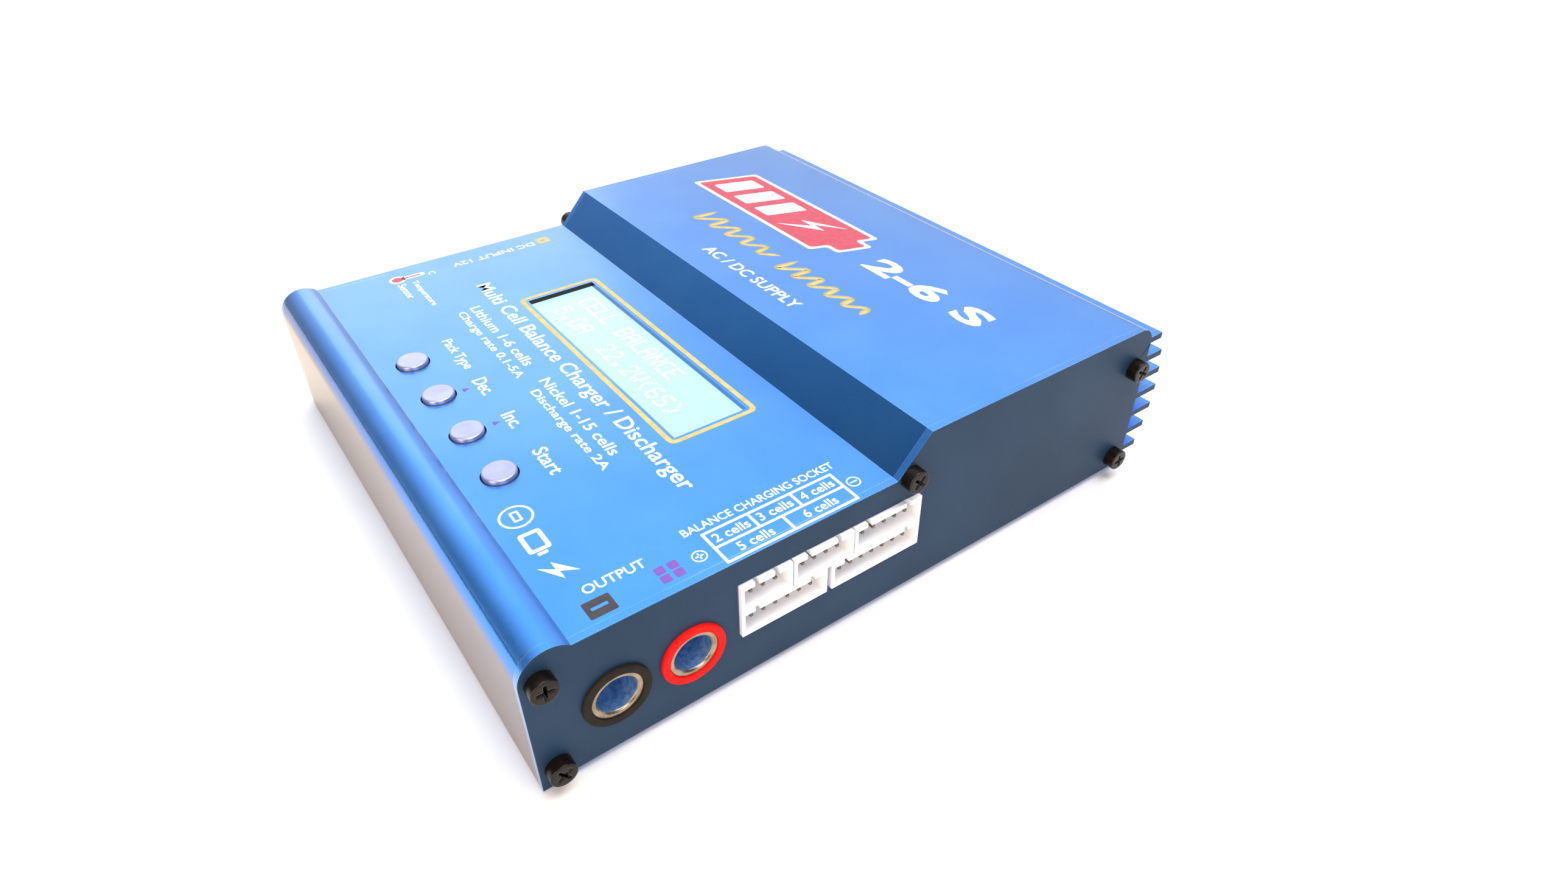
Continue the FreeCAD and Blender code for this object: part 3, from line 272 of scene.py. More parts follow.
# %% The recipe that every finish starts from
def surface(name, base, drift, patch, grain, depth, roughness, shader, edge_wear_and_painted_light=None, edge_mark_radius=0.25):
    """Colour goes from base to drift over patches, roughness between its two values, and the height
    carries a grain. A rounded edge takes the edge colour in patches: wear, and on some finishes also
    painted light along the edge. Patch, grain, depth and edge mark radius are in millimetres."""
    material = bpy.data.materials.new(name)
    material.use_nodes = True
    tree = material.node_tree
    out = tree.nodes["Principled BSDF"]
    place = add(tree, "ShaderNodeTexCoord", {}).outputs["Object"]
    slow = add(tree, "ShaderNodeTexNoise", {"Vector": place, "Scale": per(patch), "Detail": 4.0})
    fine = add(tree, "ShaderNodeTexNoise", {"Vector": place, "Scale": per(grain), "Detail": 2.0})
    share = add(tree, "ShaderNodeMapRange", {"Value": slow.outputs[0], "From Min": 0.35, "From Max": 0.65})
    tone = add(tree, "ShaderNodeMix", {0: share.outputs[0], 6: colour(base), 7: colour(drift)},
               data_type="RGBA")
    gloss = add(tree, "ShaderNodeMapRange", {
        "Value": fine.outputs[0], "From Min": 0.3, "From Max": 0.7,
        "To Min": roughness[0], "To Max": roughness[1],
    })
    last = tone.outputs[2]
    # Rounded edges take the edge colour in patches: wear, and on some finishes also painted light.
    if edge_wear_and_painted_light:
        soft = add(tree, "ShaderNodeBevel", {"Radius": edge_mark_radius * MM}, samples=4)
        flat = add(tree, "ShaderNodeNewGeometry", {})
        bend = add(tree, "ShaderNodeVectorMath", {0: soft.outputs[0], 1: flat.outputs["Normal"]},
                   operation="DOT_PRODUCT")
        edge = add(tree, "ShaderNodeMapRange", {"Value": bend.outputs["Value"], "From Min": 0.995,
                                                "From Max": 0.9, "To Max": 0.75})
        patchy = add(tree, "ShaderNodeMath", {0: edge.outputs[0], 1: share.outputs[0]},
                     operation="MULTIPLY")
        last = add(tree, "ShaderNodeMix", {0: patchy.outputs[0], 6: last, 7: colour(edge_wear_and_painted_light)},
                   data_type="RGBA").outputs[2]
    height = add(tree, "ShaderNodeBump", {"Height": fine.outputs[0], "Distance": depth * MM})
    tree.links.new(last, out.inputs["Base Color"])
    tree.links.new(gloss.outputs[0], out.inputs["Roughness"])
    tree.links.new(height.outputs[0], out.inputs["Normal"])
    for socket, value in shader.items():
        out.inputs[socket].default_value = value
    return material


# %% [markdown]
# ### The case's metals
#
# The extrusion is aluminium, blasted to a fine matt grain and anodised blue. Seen steeply it is deep
# blue; seen along the surface it turns pale and a little warm, which a tinted edge reflection gives.
# The outer faces of the end plates take a darker slate blue beside it, painted shade for the darker
# reflection that faces looking along the case show. The base plate is brushed sheet, and the screws
# are steel with a black oxide, brown in patches along their rims: partly wear, partly a painted highlight.

# %% Blue anodised aluminium
blue_anodised = surface(
    "blue_anodised_aluminium", "#3C96FA", "#479DFC", 18, 0.28, 0.022, (0.32, 0.44),
    {"Metallic": 0.95, "Specular Tint": (1.0, 0.66, 0.2, 1), "Coat Weight": 1.0, "Coat Roughness": 0.2},
    # The pale edge colour is partly wear and partly a painted highlight along the case's edges.
    edge_wear_and_painted_light="#A9CBF5", edge_mark_radius=0.3,
)

# %% The same metal on the front face: a copy with a darker blue, its own edge tint and less roughness, a painted reflection
front_face_reflection_copy = surface(
    "blue_anodised_front_painted_reflection", "#3C8EE6", "#4595EA", 18, 0.28, 0.01, (0.12, 0.2),
    {"Metallic": 0.95, "Specular Tint": (1.0, 0.64, 0.34, 1), "Coat Weight": 0.3, "Coat Roughness": 0.2},
)

# %% The blue of the sockets' bore walls: a painted reflection of the blue case
bore_painted_reflection = surface(
    "bore_wall_painted_blue_reflection", "#9CC2EA", "#6496C8", 0.9, 0.14, 0.03, (0.24, 0.5), {"Metallic": 0.75},
)

# %% Slate blue for the faces that look along the case: painted shade
slate_paint = surface(
    "slate_painted_shade_on_end_faces", "#1B344D", "#213B56", 22, 0.3, 0.026, (0.42, 0.55),
    {"Metallic": 0.1, "Specular IOR Level": 0.2},
    edge_wear_and_painted_light="#3F5F82", edge_mark_radius=0.25,
)

# %% Brushed base sheet
brushed_sheet = surface(
    "brushed_aluminium_sheet", "#A9ACAF", "#B9BCBE", 14, 0.5, 0.01, (0.3, 0.42),
    {"Metallic": 1.0, "Anisotropic": 0.4},
)

# %% Black oxide steel
black_oxide = surface(
    "black_oxide_steel", "#1B1714", "#261F19", 1.6, 0.16, 0.01, (0.22, 0.38),
    # The brown along the rims is partly wear and partly a painted highlight on the rounded shoulder.
    {"Metallic": 0.7}, edge_wear_and_painted_light="#6A5B4E", edge_mark_radius=0.2,
)

# %% [markdown]
# ### Turned and plated pieces
#
# The key caps are plated and satin, a cold lavender white; their rounded rims take a darker bronze
# grey in patches, partly wear and partly a painted dark reflection. The output sockets are nickel over
# brass, warmer, with a fine turned grain. The pins are dull tinned brass.

# %% Plated metals
satin_chrome = surface(
    "satin_chrome_plate", "#A8ADCE", "#B3B8D8", 3, 0.2, 0.004, (0.26, 0.38),
    # The darker bronze grey along the rims is partly wear and partly a painted dark reflection.
    {"Metallic": 0.75}, edge_wear_and_painted_light="#8C8678", edge_mark_radius=0.25,
)
nickel_plate = surface(
    "nickel_plated_brass", "#AD9B84", "#8F7E68", 1.8, 0.2, 0.008, (0.24, 0.4),
    {"Metallic": 1.0}, edge_wear_and_painted_light="#CFC4B2", edge_mark_radius=0.2,
)
bright_plate = surface(
    "bright_zinc_plate", "#C4C6C8", "#D2D4D6", 2, 0.25, 0.004, (0.2, 0.32), {"Metallic": 1.0},
)
tinned_brass = surface(
    "dull_tinned_brass", "#6E6555", "#82775F", 0.9, 0.1, 0.004, (0.34, 0.5), {"Metallic": 0.8},
)

# %% [markdown]
# ### Plastics and rubber
#
# The balance sockets are natural white nylon, which light enters a little. The insulating rings are
# moulded: one matt black, one bright red. The feet are rubber.

# %% Moulded plastics and rubber
white_nylon = surface(
    "white_moulded_nylon", "#FDFCFF", "#F6F5FC", 4, 0.35, 0.008, (0.38, 0.5),
    {"IOR": 1.53, "Subsurface Weight": 0.2, "Subsurface Scale": 0.0006},
)
black_plastic = surface(
    "black_moulded_plastic", "#1D1814", "#26201A", 2.5, 0.25, 0.012, (0.6, 0.75),
    {"IOR": 1.5, "Specular IOR Level": 0.15},
)
red_plastic = surface(
    "red_moulded_plastic", "#F01008", "#E00C04", 2.5, 0.25, 0.01, (0.55, 0.7),
    {"IOR": 1.5, "Specular IOR Level": 0.15},
)
stem_plastic = surface(
    "black_switch_plastic", "#26262A", "#1E1E22", 2, 0.2, 0.006, (0.4, 0.55), {"IOR": 1.5},
)
moulded_rubber = surface(
    "black_moulded_rubber", "#1B1B1C", "#242425", 2, 0.3, 0.02, (0.72, 0.88), {"IOR": 1.52},
)
black_insulation = surface(
    "black_silicone_lead", "#17171A", "#202024", 3, 0.2, 0.008, (0.5, 0.62), {"IOR": 1.43},
)
red_insulation = surface(
    "red_silicone_lead", "#C01610", "#A8120D", 3, 0.2, 0.008, (0.5, 0.62), {"IOR": 1.43},
)

# %% [markdown]
# ### What is inside
#
# The boards, capacitors, transformer and transistors are hidden when the case is closed, and they are
# finished all the same, because the charger can be taken apart.

# %% Inner finishes
solder_mask = surface(
    "green_solder_mask", "#12452A", "#1B5C38", 5, 0.6, 0.02, (0.28, 0.42), {"IOR": 1.55},
)
sleeve_film = surface(
    "capacitor_shrink_sleeve", "#141827", "#1D2338", 6, 0.4, 0.006, (0.22, 0.34), {"IOR": 1.54},
)
sintered_ferrite = surface(
    "sintered_ferrite", "#2B2B2E", "#38383C", 3, 0.3, 0.02, (0.55, 0.72), {"IOR": 2.0},
)
winding_tape = surface(
    "yellow_polyester_tape", "#D9B227", "#C79F1C", 5, 0.5, 0.01, (0.25, 0.38), {"IOR": 1.6},
)
black_frame = surface(
    "black_painted_steel", "#0E1116", "#151A22", 4, 0.3, 0.01, (0.4, 0.55), {"IOR": 1.5},
)

# %% [markdown]
# ### The lit display
#
# A backlit display glows pale cyan through its glass. The light comes from one end, so it fades a
# little along its length, and the glass has a faint grid of cells. The characters are brighter still.

# %% Display finishes
CELL_PITCH = 0.62


def lit_glass(name, near, far, strength):
    """Glowing colour that drifts from near to far along the display, under a clear polished sheet."""
    material = surface(name, "#0E2226", "#12282C", 30, 0.5, 0.001, (0.2, 0.3), {"Specular IOR Level": 0.25})
    tree = material.node_tree
    out = tree.nodes["Principled BSDF"]
    place = add(tree, "ShaderNodeTexCoord", {}).outputs["Object"]
    parts = add(tree, "ShaderNodeSeparateXYZ", {0: place})
    along = add(tree, "ShaderNodeMapRange", {
        "Value": parts.outputs[0], "From Min": window_low[0] * MM, "From Max": window_high[0] * MM,
    })
    cells = add(tree, "ShaderNodeTexBrick", {
        "Vector": place, "Scale": per(CELL_PITCH * 2), "Mortar Size": 0.03,
        "Color1": (1, 1, 1, 1), "Color2": (0.985, 0.985, 0.985, 1), "Mortar": (0.95, 0.95, 0.95, 1),
        "Brick Width": 0.5, "Row Height": 0.5,
    }, offset=0.0)
    glow = add(tree, "ShaderNodeMix", {0: along.outputs[0], 6: colour(far), 7: colour(near)},
               data_type="RGBA")
    netted = add(tree, "ShaderNodeMix", {0: 1.0, 6: glow.outputs[2], 7: cells.outputs[0]},
                 data_type="RGBA", blend_type="MULTIPLY")
    tree.links.new(netted.outputs[2], out.inputs["Emission Color"])
    out.inputs["Emission Strength"].default_value = strength
    return material


cyan_glow = lit_glass("backlit_display_glass", "#D4FEFE", "#DAFFFF", 0.97)
white_glow = lit_glass("lit_display_characters", "#FFFFFF", "#F6FFFF", 1.15)

# %% [markdown]
# ### Printing inks
#
# The marks are screen printed: a film of ink a few hundredths of a millimetre thick, with a slightly
# uneven cover. Each ink is a plastic film over whatever it is printed on.

# %% Inks
def ink(name, base, drift):
    """A screen-printed film: nearly even colour and a soft sheen."""
    return surface(name, base, drift, 1.5, 0.12, 0.003, (0.42, 0.55), {"IOR": 1.48})


white_ink = ink("white_screen_ink", "#F7FAFF", "#EAF1FF")
gold_ink = ink("gold_screen_ink", "#C9BA78", "#BDAC68")
red_ink = ink("red_screen_ink", "#C64A5C", "#B8435A")
black_ink = ink("black_screen_ink", "#2E2B33", "#38343C")
violet_ink = ink("violet_screen_ink", "#5E4AB0", "#7A4AA4")

# %% Give every CAD node its finish
finishes = {
    "blue_paint": blue_anodised,
    "slate_paint": slate_paint,
    "base_metal": brushed_sheet,
    "black_screw_steel": black_oxide,
    "rubber": moulded_rubber,
    "lcd_frame": black_frame,
    "lcd_glass": cyan_glow,
    "lcd_light": cyan_glow,
    "board_green": solder_mask,
    "bright_metal": bright_plate,
    "key_chrome": satin_chrome,
    "stem_plastic": stem_plastic,
    "black_plastic": black_plastic,
    "red_plastic": red_plastic,
    "socket_nickel": nickel_plate,
    "pin_brass": tinned_brass,
    "white_nylon": white_nylon,
    "lead_black": black_insulation,
    "lead_red": red_insulation,
    "ferrite": sintered_ferrite,
    "winding_tape": winding_tape,
    "capacitor_sleeve": sleeve_film,
}
node_slots = {part["node"]: part["material_slot"] for part in frame["record"]["subparts"]}
for node, thing in frame["nodes"].items():
    thing.data.materials.clear()
    thing.data.materials.append(finishes[node_slots[node]])
print(len(node_slots), "nodes have a finish of their own")

# %% [markdown]
# ## Rounded edges on the sheet-metal and moulded pieces
#
# No real edge is perfectly sharp: an extrusion is tumbled, a plate is deburred, a moulding has the
# radius of its tool. The CAD meshes are loose triangles with knife edges, so a copy is merged into
# whole faces, and a narrow bevel rounds what is left. The CAD node stays for the motion, and the copy
# is what shows. The outer faces of the plates and the ends of the fins take the darker slate finish,
# painted shade for the darker reflection of faces that look along the case.

# %% Finishes for some faces of a piece
def face_values(piece, kind):
    """The centre or the normal of every face, one row of three each."""
    flat = np.empty(len(piece.data.polygons) * 3, np.float32)
    piece.data.polygons.foreach_get(kind, flat)
    return flat.reshape(-1, 3).astype(float)


def give_finish(piece, chosen, finish):
    """The chosen faces take one more finish."""
    numbers = np.empty(len(piece.data.polygons), np.int32)
    piece.data.polygons.foreach_get("material_index", numbers)
    numbers[chosen] = len(piece.data.materials)
    piece.data.materials.append(finish)
    piece.data.polygons.foreach_set("material_index", numbers)


# %% Soften a CAD node
def softened(node, width, end_face_shade=None):
    """A copy of a node: its triangles merged to whole faces, its edges rounded by width millimetres.
    With an end face shade, the faces that look along X take it: a darker finish that is painted shade."""
    source = frame["nodes"][node].data
    corners = np.empty(len(source.loops), np.int32)
    source.loops.foreach_get("vertex_index", corners)
    mesh = bpy.data.meshes.new(node + "_finished")
    mesh.from_pydata((points_of(node) * MM).tolist(), [], corners.reshape(-1, 3).tolist())
    work = bmesh.new()
    work.from_mesh(mesh)
    bmesh.ops.remove_doubles(work, verts=work.verts, dist=1e-6)
    bmesh.ops.dissolve_limit(work, angle_limit=math.radians(1), verts=work.verts, edges=work.edges)
    work.to_mesh(mesh)
    work.free()
    mesh.polygons.foreach_set("use_smooth", np.ones(len(mesh.polygons), bool))
    slot = node_slots[node]
    body = frame["nodes"][node]["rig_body"]
    piece = place_piece(node + "_finished", mesh, finishes[slot], [node], body)
    # Faces that look along X take the darker end face shade: painted shade.
    if end_face_shade:
        give_finish(piece, np.abs(face_values(piece, "normal")[:, 0]) > 0.7, end_face_shade)
    bevel = piece.modifiers.new("rounded_edges", "BEVEL")
    bevel.width = width * MM
    bevel.segments = 2
    bevel.limit_method = "ANGLE"
    bevel.angle_limit = math.radians(35)
    bevel.harden_normals = True
    return piece


# %% Case, plates, sockets and pins
# The end plates are blue metal like the case; only their faces that look along X take the darker slate
# finish, as painted shade.
finishes["slate_paint"] = blue_anodised
case = softened("case_shell", 0.22, slate_paint)
middles = face_values(case, "center") / MM
window_edge = np.maximum(window_low - middles, middles - window_high)[:, :2].max(axis=1)
# The cut walls of the display window take the black painted steel finish: painted shade in the window's
# recess.
give_finish(case, np.abs(window_edge) < 0.05, black_frame)
# The front face takes its own copy of the blue metal, darker, less rough and with its own edge tint: a
# painted reflection of the floor in front.
give_finish(case, face_values(case, "normal")[:, 1] < -0.7, front_face_reflection_copy)
softened("right_end_plate", 0.16, slate_paint)
softened("left_end_plate", 0.16, slate_paint)
softened("base_plate", 0.15)
softened("lcd_bezel", 0.1)
for cells in (2, 3, 4, 5, 6):
    softened(f"balance_socket_{cells}_cells", 0.12)
    softened(f"balance_pins_{cells}_cells", 0.12)
softened("sensor_socket", 0.12)
softened("sensor_pins", 0.12)
softened("mains_inlet", 0.3)
softened("mains_inlet_blades", 0.3)
print("the flat pieces have rounded edges")

# %% [markdown]
# ## Turned pieces
#
# Keys, rings, sleeves and feet are round, so each is a profile turned about its axis: a point of the
# surface is the axis at the profile's height, plus the profile's radius in the direction of the turn.
# The profile's corners are eased first, each into a short curve.

# %% Eased outlines and the lathe
TURN_STEPS = 96


def eased(corners, radius, closed=False, steps=5):
    """Each corner becomes the curve (1-t)^2 start + 2t(1-t) corner + t^2 end, whose ends lie the
    radius away along its two sides."""
    corners = np.asarray(corners, float)
    before = np.roll(corners, 1, axis=0) - corners
    after = np.roll(corners, -1, axis=0) - corners
    before_length = np.linalg.norm(before, axis=1, keepdims=True)
    after_length = np.linalg.norm(after, axis=1, keepdims=True)
    reach = np.minimum(np.reshape(np.broadcast_to(radius, len(corners)), (-1, 1)),
                       0.48 * np.minimum(before_length, after_length))
    start = corners + before / before_length * reach
    end = corners + after / after_length * reach
    t = np.linspace(0, 1, steps)[None, :, None]
    curve = (1 - t) ** 2 * start[:, None] + 2 * t * (1 - t) * corners[:, None] + t ** 2 * end[:, None]
    if closed:
        return curve.reshape(-1, 2)
    return np.concatenate([corners[:1], curve[1:-1].reshape(-1, 2), corners[-1:]])


def lathe(profile, foot, axis, steps, closed=False):
    """Point = foot + height * axis + radius * (cos a * across + sin a * up)."""
    axis = np.array(axis, float)
    across = np.array((0, 1, 0) if abs(axis[0]) > 0.5 else (1, 0, 0), float)
    up = np.cross(axis, across)
    angle = np.linspace(0, 2 * math.pi, steps, endpoint=False)
    wheel = np.cos(angle)[:, None] * across + np.sin(angle)[:, None] * up
    points = foot + profile[:, 1, None, None] * axis + profile[:, 0, None, None] * wheel
    return points, grid_faces(len(profile), steps, rows_meet=closed, columns_meet=True)


def turned(name, profile, foot, axis, material, closed=False, **riding):
    """A piece turned on the lathe."""
    points, faces = lathe(profile, foot, axis, TURN_STEPS, closed)
    return make_piece(name, points, faces, material, **riding)


# %% [markdown]
# ### Keys
#
# Each key is a plated cap with a nearly flat top, a rounded rim, and a collar under the deck that
# keeps it from falling out. The top is dished by a few hundredths of a millimetre, as a pressed cap
# is, which bends the reflection across it.

# %% Four key caps
KEY_COLLAR = 0.8
COLLAR_STEP = 0.9
KEY_DISH = 0.06
key_names = ("battery_type", "decrease", "increase", "start")
for key in key_names:
    low, high = span_of(f"{key}_button")
    collar = (high[0] - low[0]) / 2
    cap = collar - COLLAR_STEP
    tall = high[2] - low[2]
    profile = eased(
        [(0, 0), (collar, 0), (collar, KEY_COLLAR), (cap, KEY_COLLAR), (cap, tall),
         (cap * 0.6, tall - KEY_DISH / 2), (0, tall - KEY_DISH)],
        (0, 0.15, 0.15, 0.1, 0.42, 1.2, 0),
    )
    foot = np.array(((low[0] + high[0]) / 2, (low[1] + high[1]) / 2, low[2]))
    turned(f"{key}_cap", profile, foot, (0, 0, 1), satin_chrome,
           replaced=[f"{key}_button"], body=f"{key}_key", slot="key_chrome")
print(len(key_names), "key caps, each on its own body")

# %% [markdown]
# ### Output sockets
#
# Each output is a metal sleeve in a coloured insulating ring. The ring stands proud of the plate by
# less than a millimetre, with a soft moulded edge. The sleeve's lip is turned, and its bore is dark;
# the bore's wall takes a pale blue, a painted reflection of the blue case around it.

# %% Rings and sleeves
SLEEVE_MOUTH = 3.55
CONTACT_BORE = 2.0
MOUTH_DEPTH = 6.5
BARREL_WALL = 0.82
SLEEVE_FIT = 0.02
LIP_CHAMFER = 0.35
TAIL_RADIUS = 3.0
TAIL_FLOOR = 1
REFLECTION_START = 1.2
for side, ring_finish, slot in (("negative", black_plastic, "black_plastic"),
                                ("positive", red_plastic, "red_plastic")):
    low, high = span_of(f"{side}_socket_ring")
    sleeve_low, sleeve_high = span_of(f"{side}_socket_sleeve")
    middle = (low + high) / 2
    ring = (high[1] - low[1]) / 2
    sleeve = (sleeve_high[1] - sleeve_low[1]) / 2
    barrel = sleeve + BARREL_WALL
    inner = sleeve + SLEEVE_FIT
    foot = np.array((right_face, middle[1], middle[2]))
    proud = high[0] - right_face
    deep = low[0] - right_face
    turned(f"{side}_insulator", eased(
        [(inner, deep), (barrel, deep), (barrel, 0), (ring, 0), (ring, proud), (inner, proud)],
        (0.1, 0.2, 0.05, 0.05, 0.28, 0.12), closed=True,
    ), foot, (1, 0, 0), ring_finish, closed=True, replaced=[f"{side}_socket_ring"], slot=slot)
    lip = sleeve_high[0] - right_face
    tail = sleeve_low[0] - right_face
    end = lip - MOUTH_DEPTH
    liner = turned(f"{side}_sleeve", eased(
        [(0, tail), (TAIL_RADIUS, tail), (TAIL_RADIUS, deep), (sleeve, deep), (sleeve, lip),
         (SLEEVE_MOUTH + LIP_CHAMFER, lip), (SLEEVE_MOUTH, lip - LIP_CHAMFER), (SLEEVE_MOUTH, end),
         (CONTACT_BORE, end), (CONTACT_BORE, tail + TAIL_FLOOR), (0, tail + TAIL_FLOOR)],
        (0, 0.2, 0.1, 0.1, 0.12, 0.12, 0.1, 0.1, 0.3, 0.1, 0),
    ), foot, (1, 0, 0), nickel_plate, replaced=[f"{side}_socket_sleeve"], slot="socket_nickel")
    centres = face_values(liner, "center") / MM - foot
    off_axis = np.hypot(centres[:, 1], centres[:, 2])
    # The bore's wall takes a pale blue metal: a painted reflection of the blue case.
    bore_reflection_faces = (off_axis < SLEEVE_MOUTH + SLEEVE_FIT) & (centres[:, 0] > tail + REFLECTION_START)
    give_finish(liner, bore_reflection_faces, bore_painted_reflection)
print("two output sockets")

# %% [markdown]
# ### Pan-head screws
#
# A pan head is a flat disc with a rounded shoulder, and the driver's cross is pressed into it. The
# top is a square grid pressed into a disc, so that grid lines run along the cross's straight walls:
# the two coordinates are each drawn in by the other. The rim goes on down the side as rings.

# %% One screw as arrays
CROSS_HALF = 0.13
CROSS_REACH = 0.72
CROSS_SLOPE = 0.03
CROSS_DEPTH = 0.7
FLAT_SHARE = 0.86
THREAD_RADIUS = 1.45
FIRST_TURN = 0.6
NEXT_TURN = 0.9


def screw_points(radius, tall, length):
    """Top grid: x' = x sqrt(1 - y^2/2), y' = y sqrt(1 - x^2/2), both times the flat's radius; height
    = head height less the cross's depth, which is deepest in the middle. Rings follow the profile."""
    walls = np.array([CROSS_HALF, CROSS_HALF + CROSS_SLOPE, CROSS_REACH, CROSS_REACH + CROSS_SLOPE])
    inner = CROSS_HALF - CROSS_SLOPE
    lines = np.unique(np.concatenate([np.linspace(-1, 1, 15), walls, -walls, (inner, -inner)]))
    x, y = np.meshgrid(lines, lines, indexing="ij")

    def arm(along, across):
        """How deep one bar of the cross is: 1 in the middle, less towards its ends, 0 outside it."""
        inside = np.clip((CROSS_HALF + CROSS_SLOPE - np.abs(across)) / CROSS_SLOPE, 0, 1)
        reach = np.clip((CROSS_REACH + CROSS_SLOPE - np.abs(along)) / CROSS_SLOPE, 0, 1)
        return inside * reach * (1 - 0.35 * np.abs(along))

    depth = np.maximum(arm(x, y), arm(y, x)) * tall * CROSS_DEPTH
    flat = radius * FLAT_SHARE
    drawn_x = x * np.sqrt(1 - y ** 2 / 2) * flat
    drawn_y = y * np.sqrt(1 - x ** 2 / 2) * flat
    top = np.stack([drawn_x, drawn_y, tall - depth], axis=-1)
    count = len(lines)
    edge = np.concatenate([top[:-1, 0], top[-1, :-1], top[:0:-1, -1], top[0, :0:-1]])[:, :2] / flat
    outline = [(flat, tall), (radius, tall - 0.05), (radius, 0), (THREAD_RADIUS, 0),
               (THREAD_RADIUS, -length), (0, -length)]
    profile = eased(outline, (0, 0.75, 0.08, 0.05, 0.2, 0))[1:]
    rings = np.concatenate([
        edge[None] * profile[:, 0, None, None],
        np.broadcast_to(profile[:, 1, None, None], (len(profile), len(edge), 1)),
    ], axis=-1)
    number = np.arange(count * count).reshape(count, count)
    rim = np.concatenate([number[:-1, 0], number[-1, :-1], number[:0:-1, -1], number[0, :0:-1]])
    loops = np.concatenate([rim[None], count * count + np.arange(rings.size // 3).reshape(len(profile), -1)])
    following = np.roll(loops, -1, axis=1)
    sides = np.stack([loops[:-1], following[:-1], following[1:], loops[1:]], axis=-1).reshape(-1, 4)
    points = np.concatenate([top.reshape(-1, 3), rings.reshape(-1, 3)])
    return points, np.concatenate([grid_faces(count, count), sides])


# %% Five screws at each end
def islands_of(node):
    """The boxes of a node's separate solids, in millimetres: a merged copy is taken apart."""
    copy = bpy.data.objects.new("apart", frame["nodes"][node].data.copy())
    bpy.context.scene.collection.objects.link(copy)
    bpy.ops.object.select_all(action="DESELECT")
    bpy.context.view_layer.objects.active = copy
    copy.select_set(True)
    bpy.ops.object.mode_set(mode="EDIT")
    bpy.ops.mesh.select_all(action="SELECT")
    bpy.ops.mesh.remove_doubles(threshold=1e-6)
    bpy.ops.mesh.separate(type="LOOSE")
    bpy.ops.object.mode_set(mode="OBJECT")
    boxes = []
    for island in list(bpy.context.selected_objects):
        corners = np.array(island.bound_box) / MM
        boxes.append((corners.min(axis=0), corners.max(axis=0)))
        bpy.data.objects.remove(island)
    return boxes


def screw_set(name, node, face, outward):
    """All the screws of one end plate, each turned a little differently, as a driver leaves them."""
    all_points = []
    all_faces = []
    start = 0
    for order, (low, high) in enumerate(sorted(islands_of(node), key=lambda box: (box[0][1], box[0][2]))):
        head = (high[1] - low[1]) / 2
        tall = abs((high if outward > 0 else low)[0] - face)
        length = abs((low if outward > 0 else high)[0] - face)
        points, faces = screw_points(head, tall, length)
        angle = FIRST_TURN + NEXT_TURN * order
        across = points[:, 0] * math.cos(angle) - points[:, 1] * math.sin(angle)
        up = points[:, 0] * math.sin(angle) + points[:, 1] * math.cos(angle)
        middle = (low + high) / 2
        placed = np.stack([face + outward * points[:, 2], middle[1] + across, middle[2] + up], axis=-1)
        all_points.append(placed)
        all_faces.append(faces + start)
        start += len(points)
    make_piece(name, np.concatenate(all_points), np.concatenate(all_faces), black_oxide,
               replaced=[node], slot="black_screw_steel")


screw_set("right_screws", "right_plate_screws", right_face, 1)
screw_set("left_screws", "left_plate_screws", left_face, -1)
print("ten pan-head screws")

# %% [markdown]
# ## Rubber feet and the low-voltage jack
#
# The feet are moulded discs with a soft edge. The jack is a moulded barrel with a flange, a mouth and
# a bore for a centre pin.

# %% Feet and jack
FOOT_STEPS = 64
foot_points = []
foot_faces = []
for order, (low, high) in enumerate(islands_of("rubber_feet")):
    radius = (high[0] - low[0]) / 2
    tall = high[2] - low[2]
    outline = [(0, 0.12), (radius * 0.6, 0.1), (radius * 0.72, 0), (radius, 0), (radius, tall), (0, tall)]
    profile = eased(outline, (0, 0.4, 0.3, 0.45, 0.05, 0))
    foot = np.array(((low[0] + high[0]) / 2, (low[1] + high[1]) / 2, low[2]))
    points, faces = lathe(profile, foot, (0, 0, 1), FOOT_STEPS)
    foot_faces.append(faces + order * len(profile) * FOOT_STEPS)
    foot_points.append(points.reshape(-1, 3))
make_piece("moulded_feet", np.concatenate(foot_points), np.concatenate(foot_faces), moulded_rubber,
           replaced=["rubber_feet"], slot="rubber")

PIN_BORE = 1.07
JACK_BARREL = 4.4
JACK_MOUTH = 3.2
jack_low, jack_high = span_of("low_voltage_jack")
jack_middle = (jack_low + jack_high) / 2
flange = (jack_high[1] - jack_low[1]) / 2
flange_tall = left_face - jack_low[0]
jack_deep = left_face - jack_high[0]
jack_floor = jack_deep + 1.2
turned("jack_barrel", eased(
    [(PIN_BORE, jack_deep), (JACK_BARREL, jack_deep), (JACK_BARREL, 0), (flange, 0), (flange, flange_tall),
     (JACK_MOUTH, flange_tall), (JACK_MOUTH, jack_floor), (PIN_BORE, jack_floor)],
    (0.1, 0.3, 0.05, 0.05, 0.35, 0.3, 0.1, 0.1), closed=True,
), np.array((left_face, jack_middle[1], jack_middle[2])), (-1, 0, 0), black_plastic, closed=True,
    replaced=["low_voltage_jack"], slot="black_plastic")
print("feet and jack")

# %% [markdown]
# ## The display's characters
#
# A character display lights small square dots, five across and seven down in each cell. The letters
# are drawn here as rows of text, and one array of blocks becomes the lit dots just above the glass.

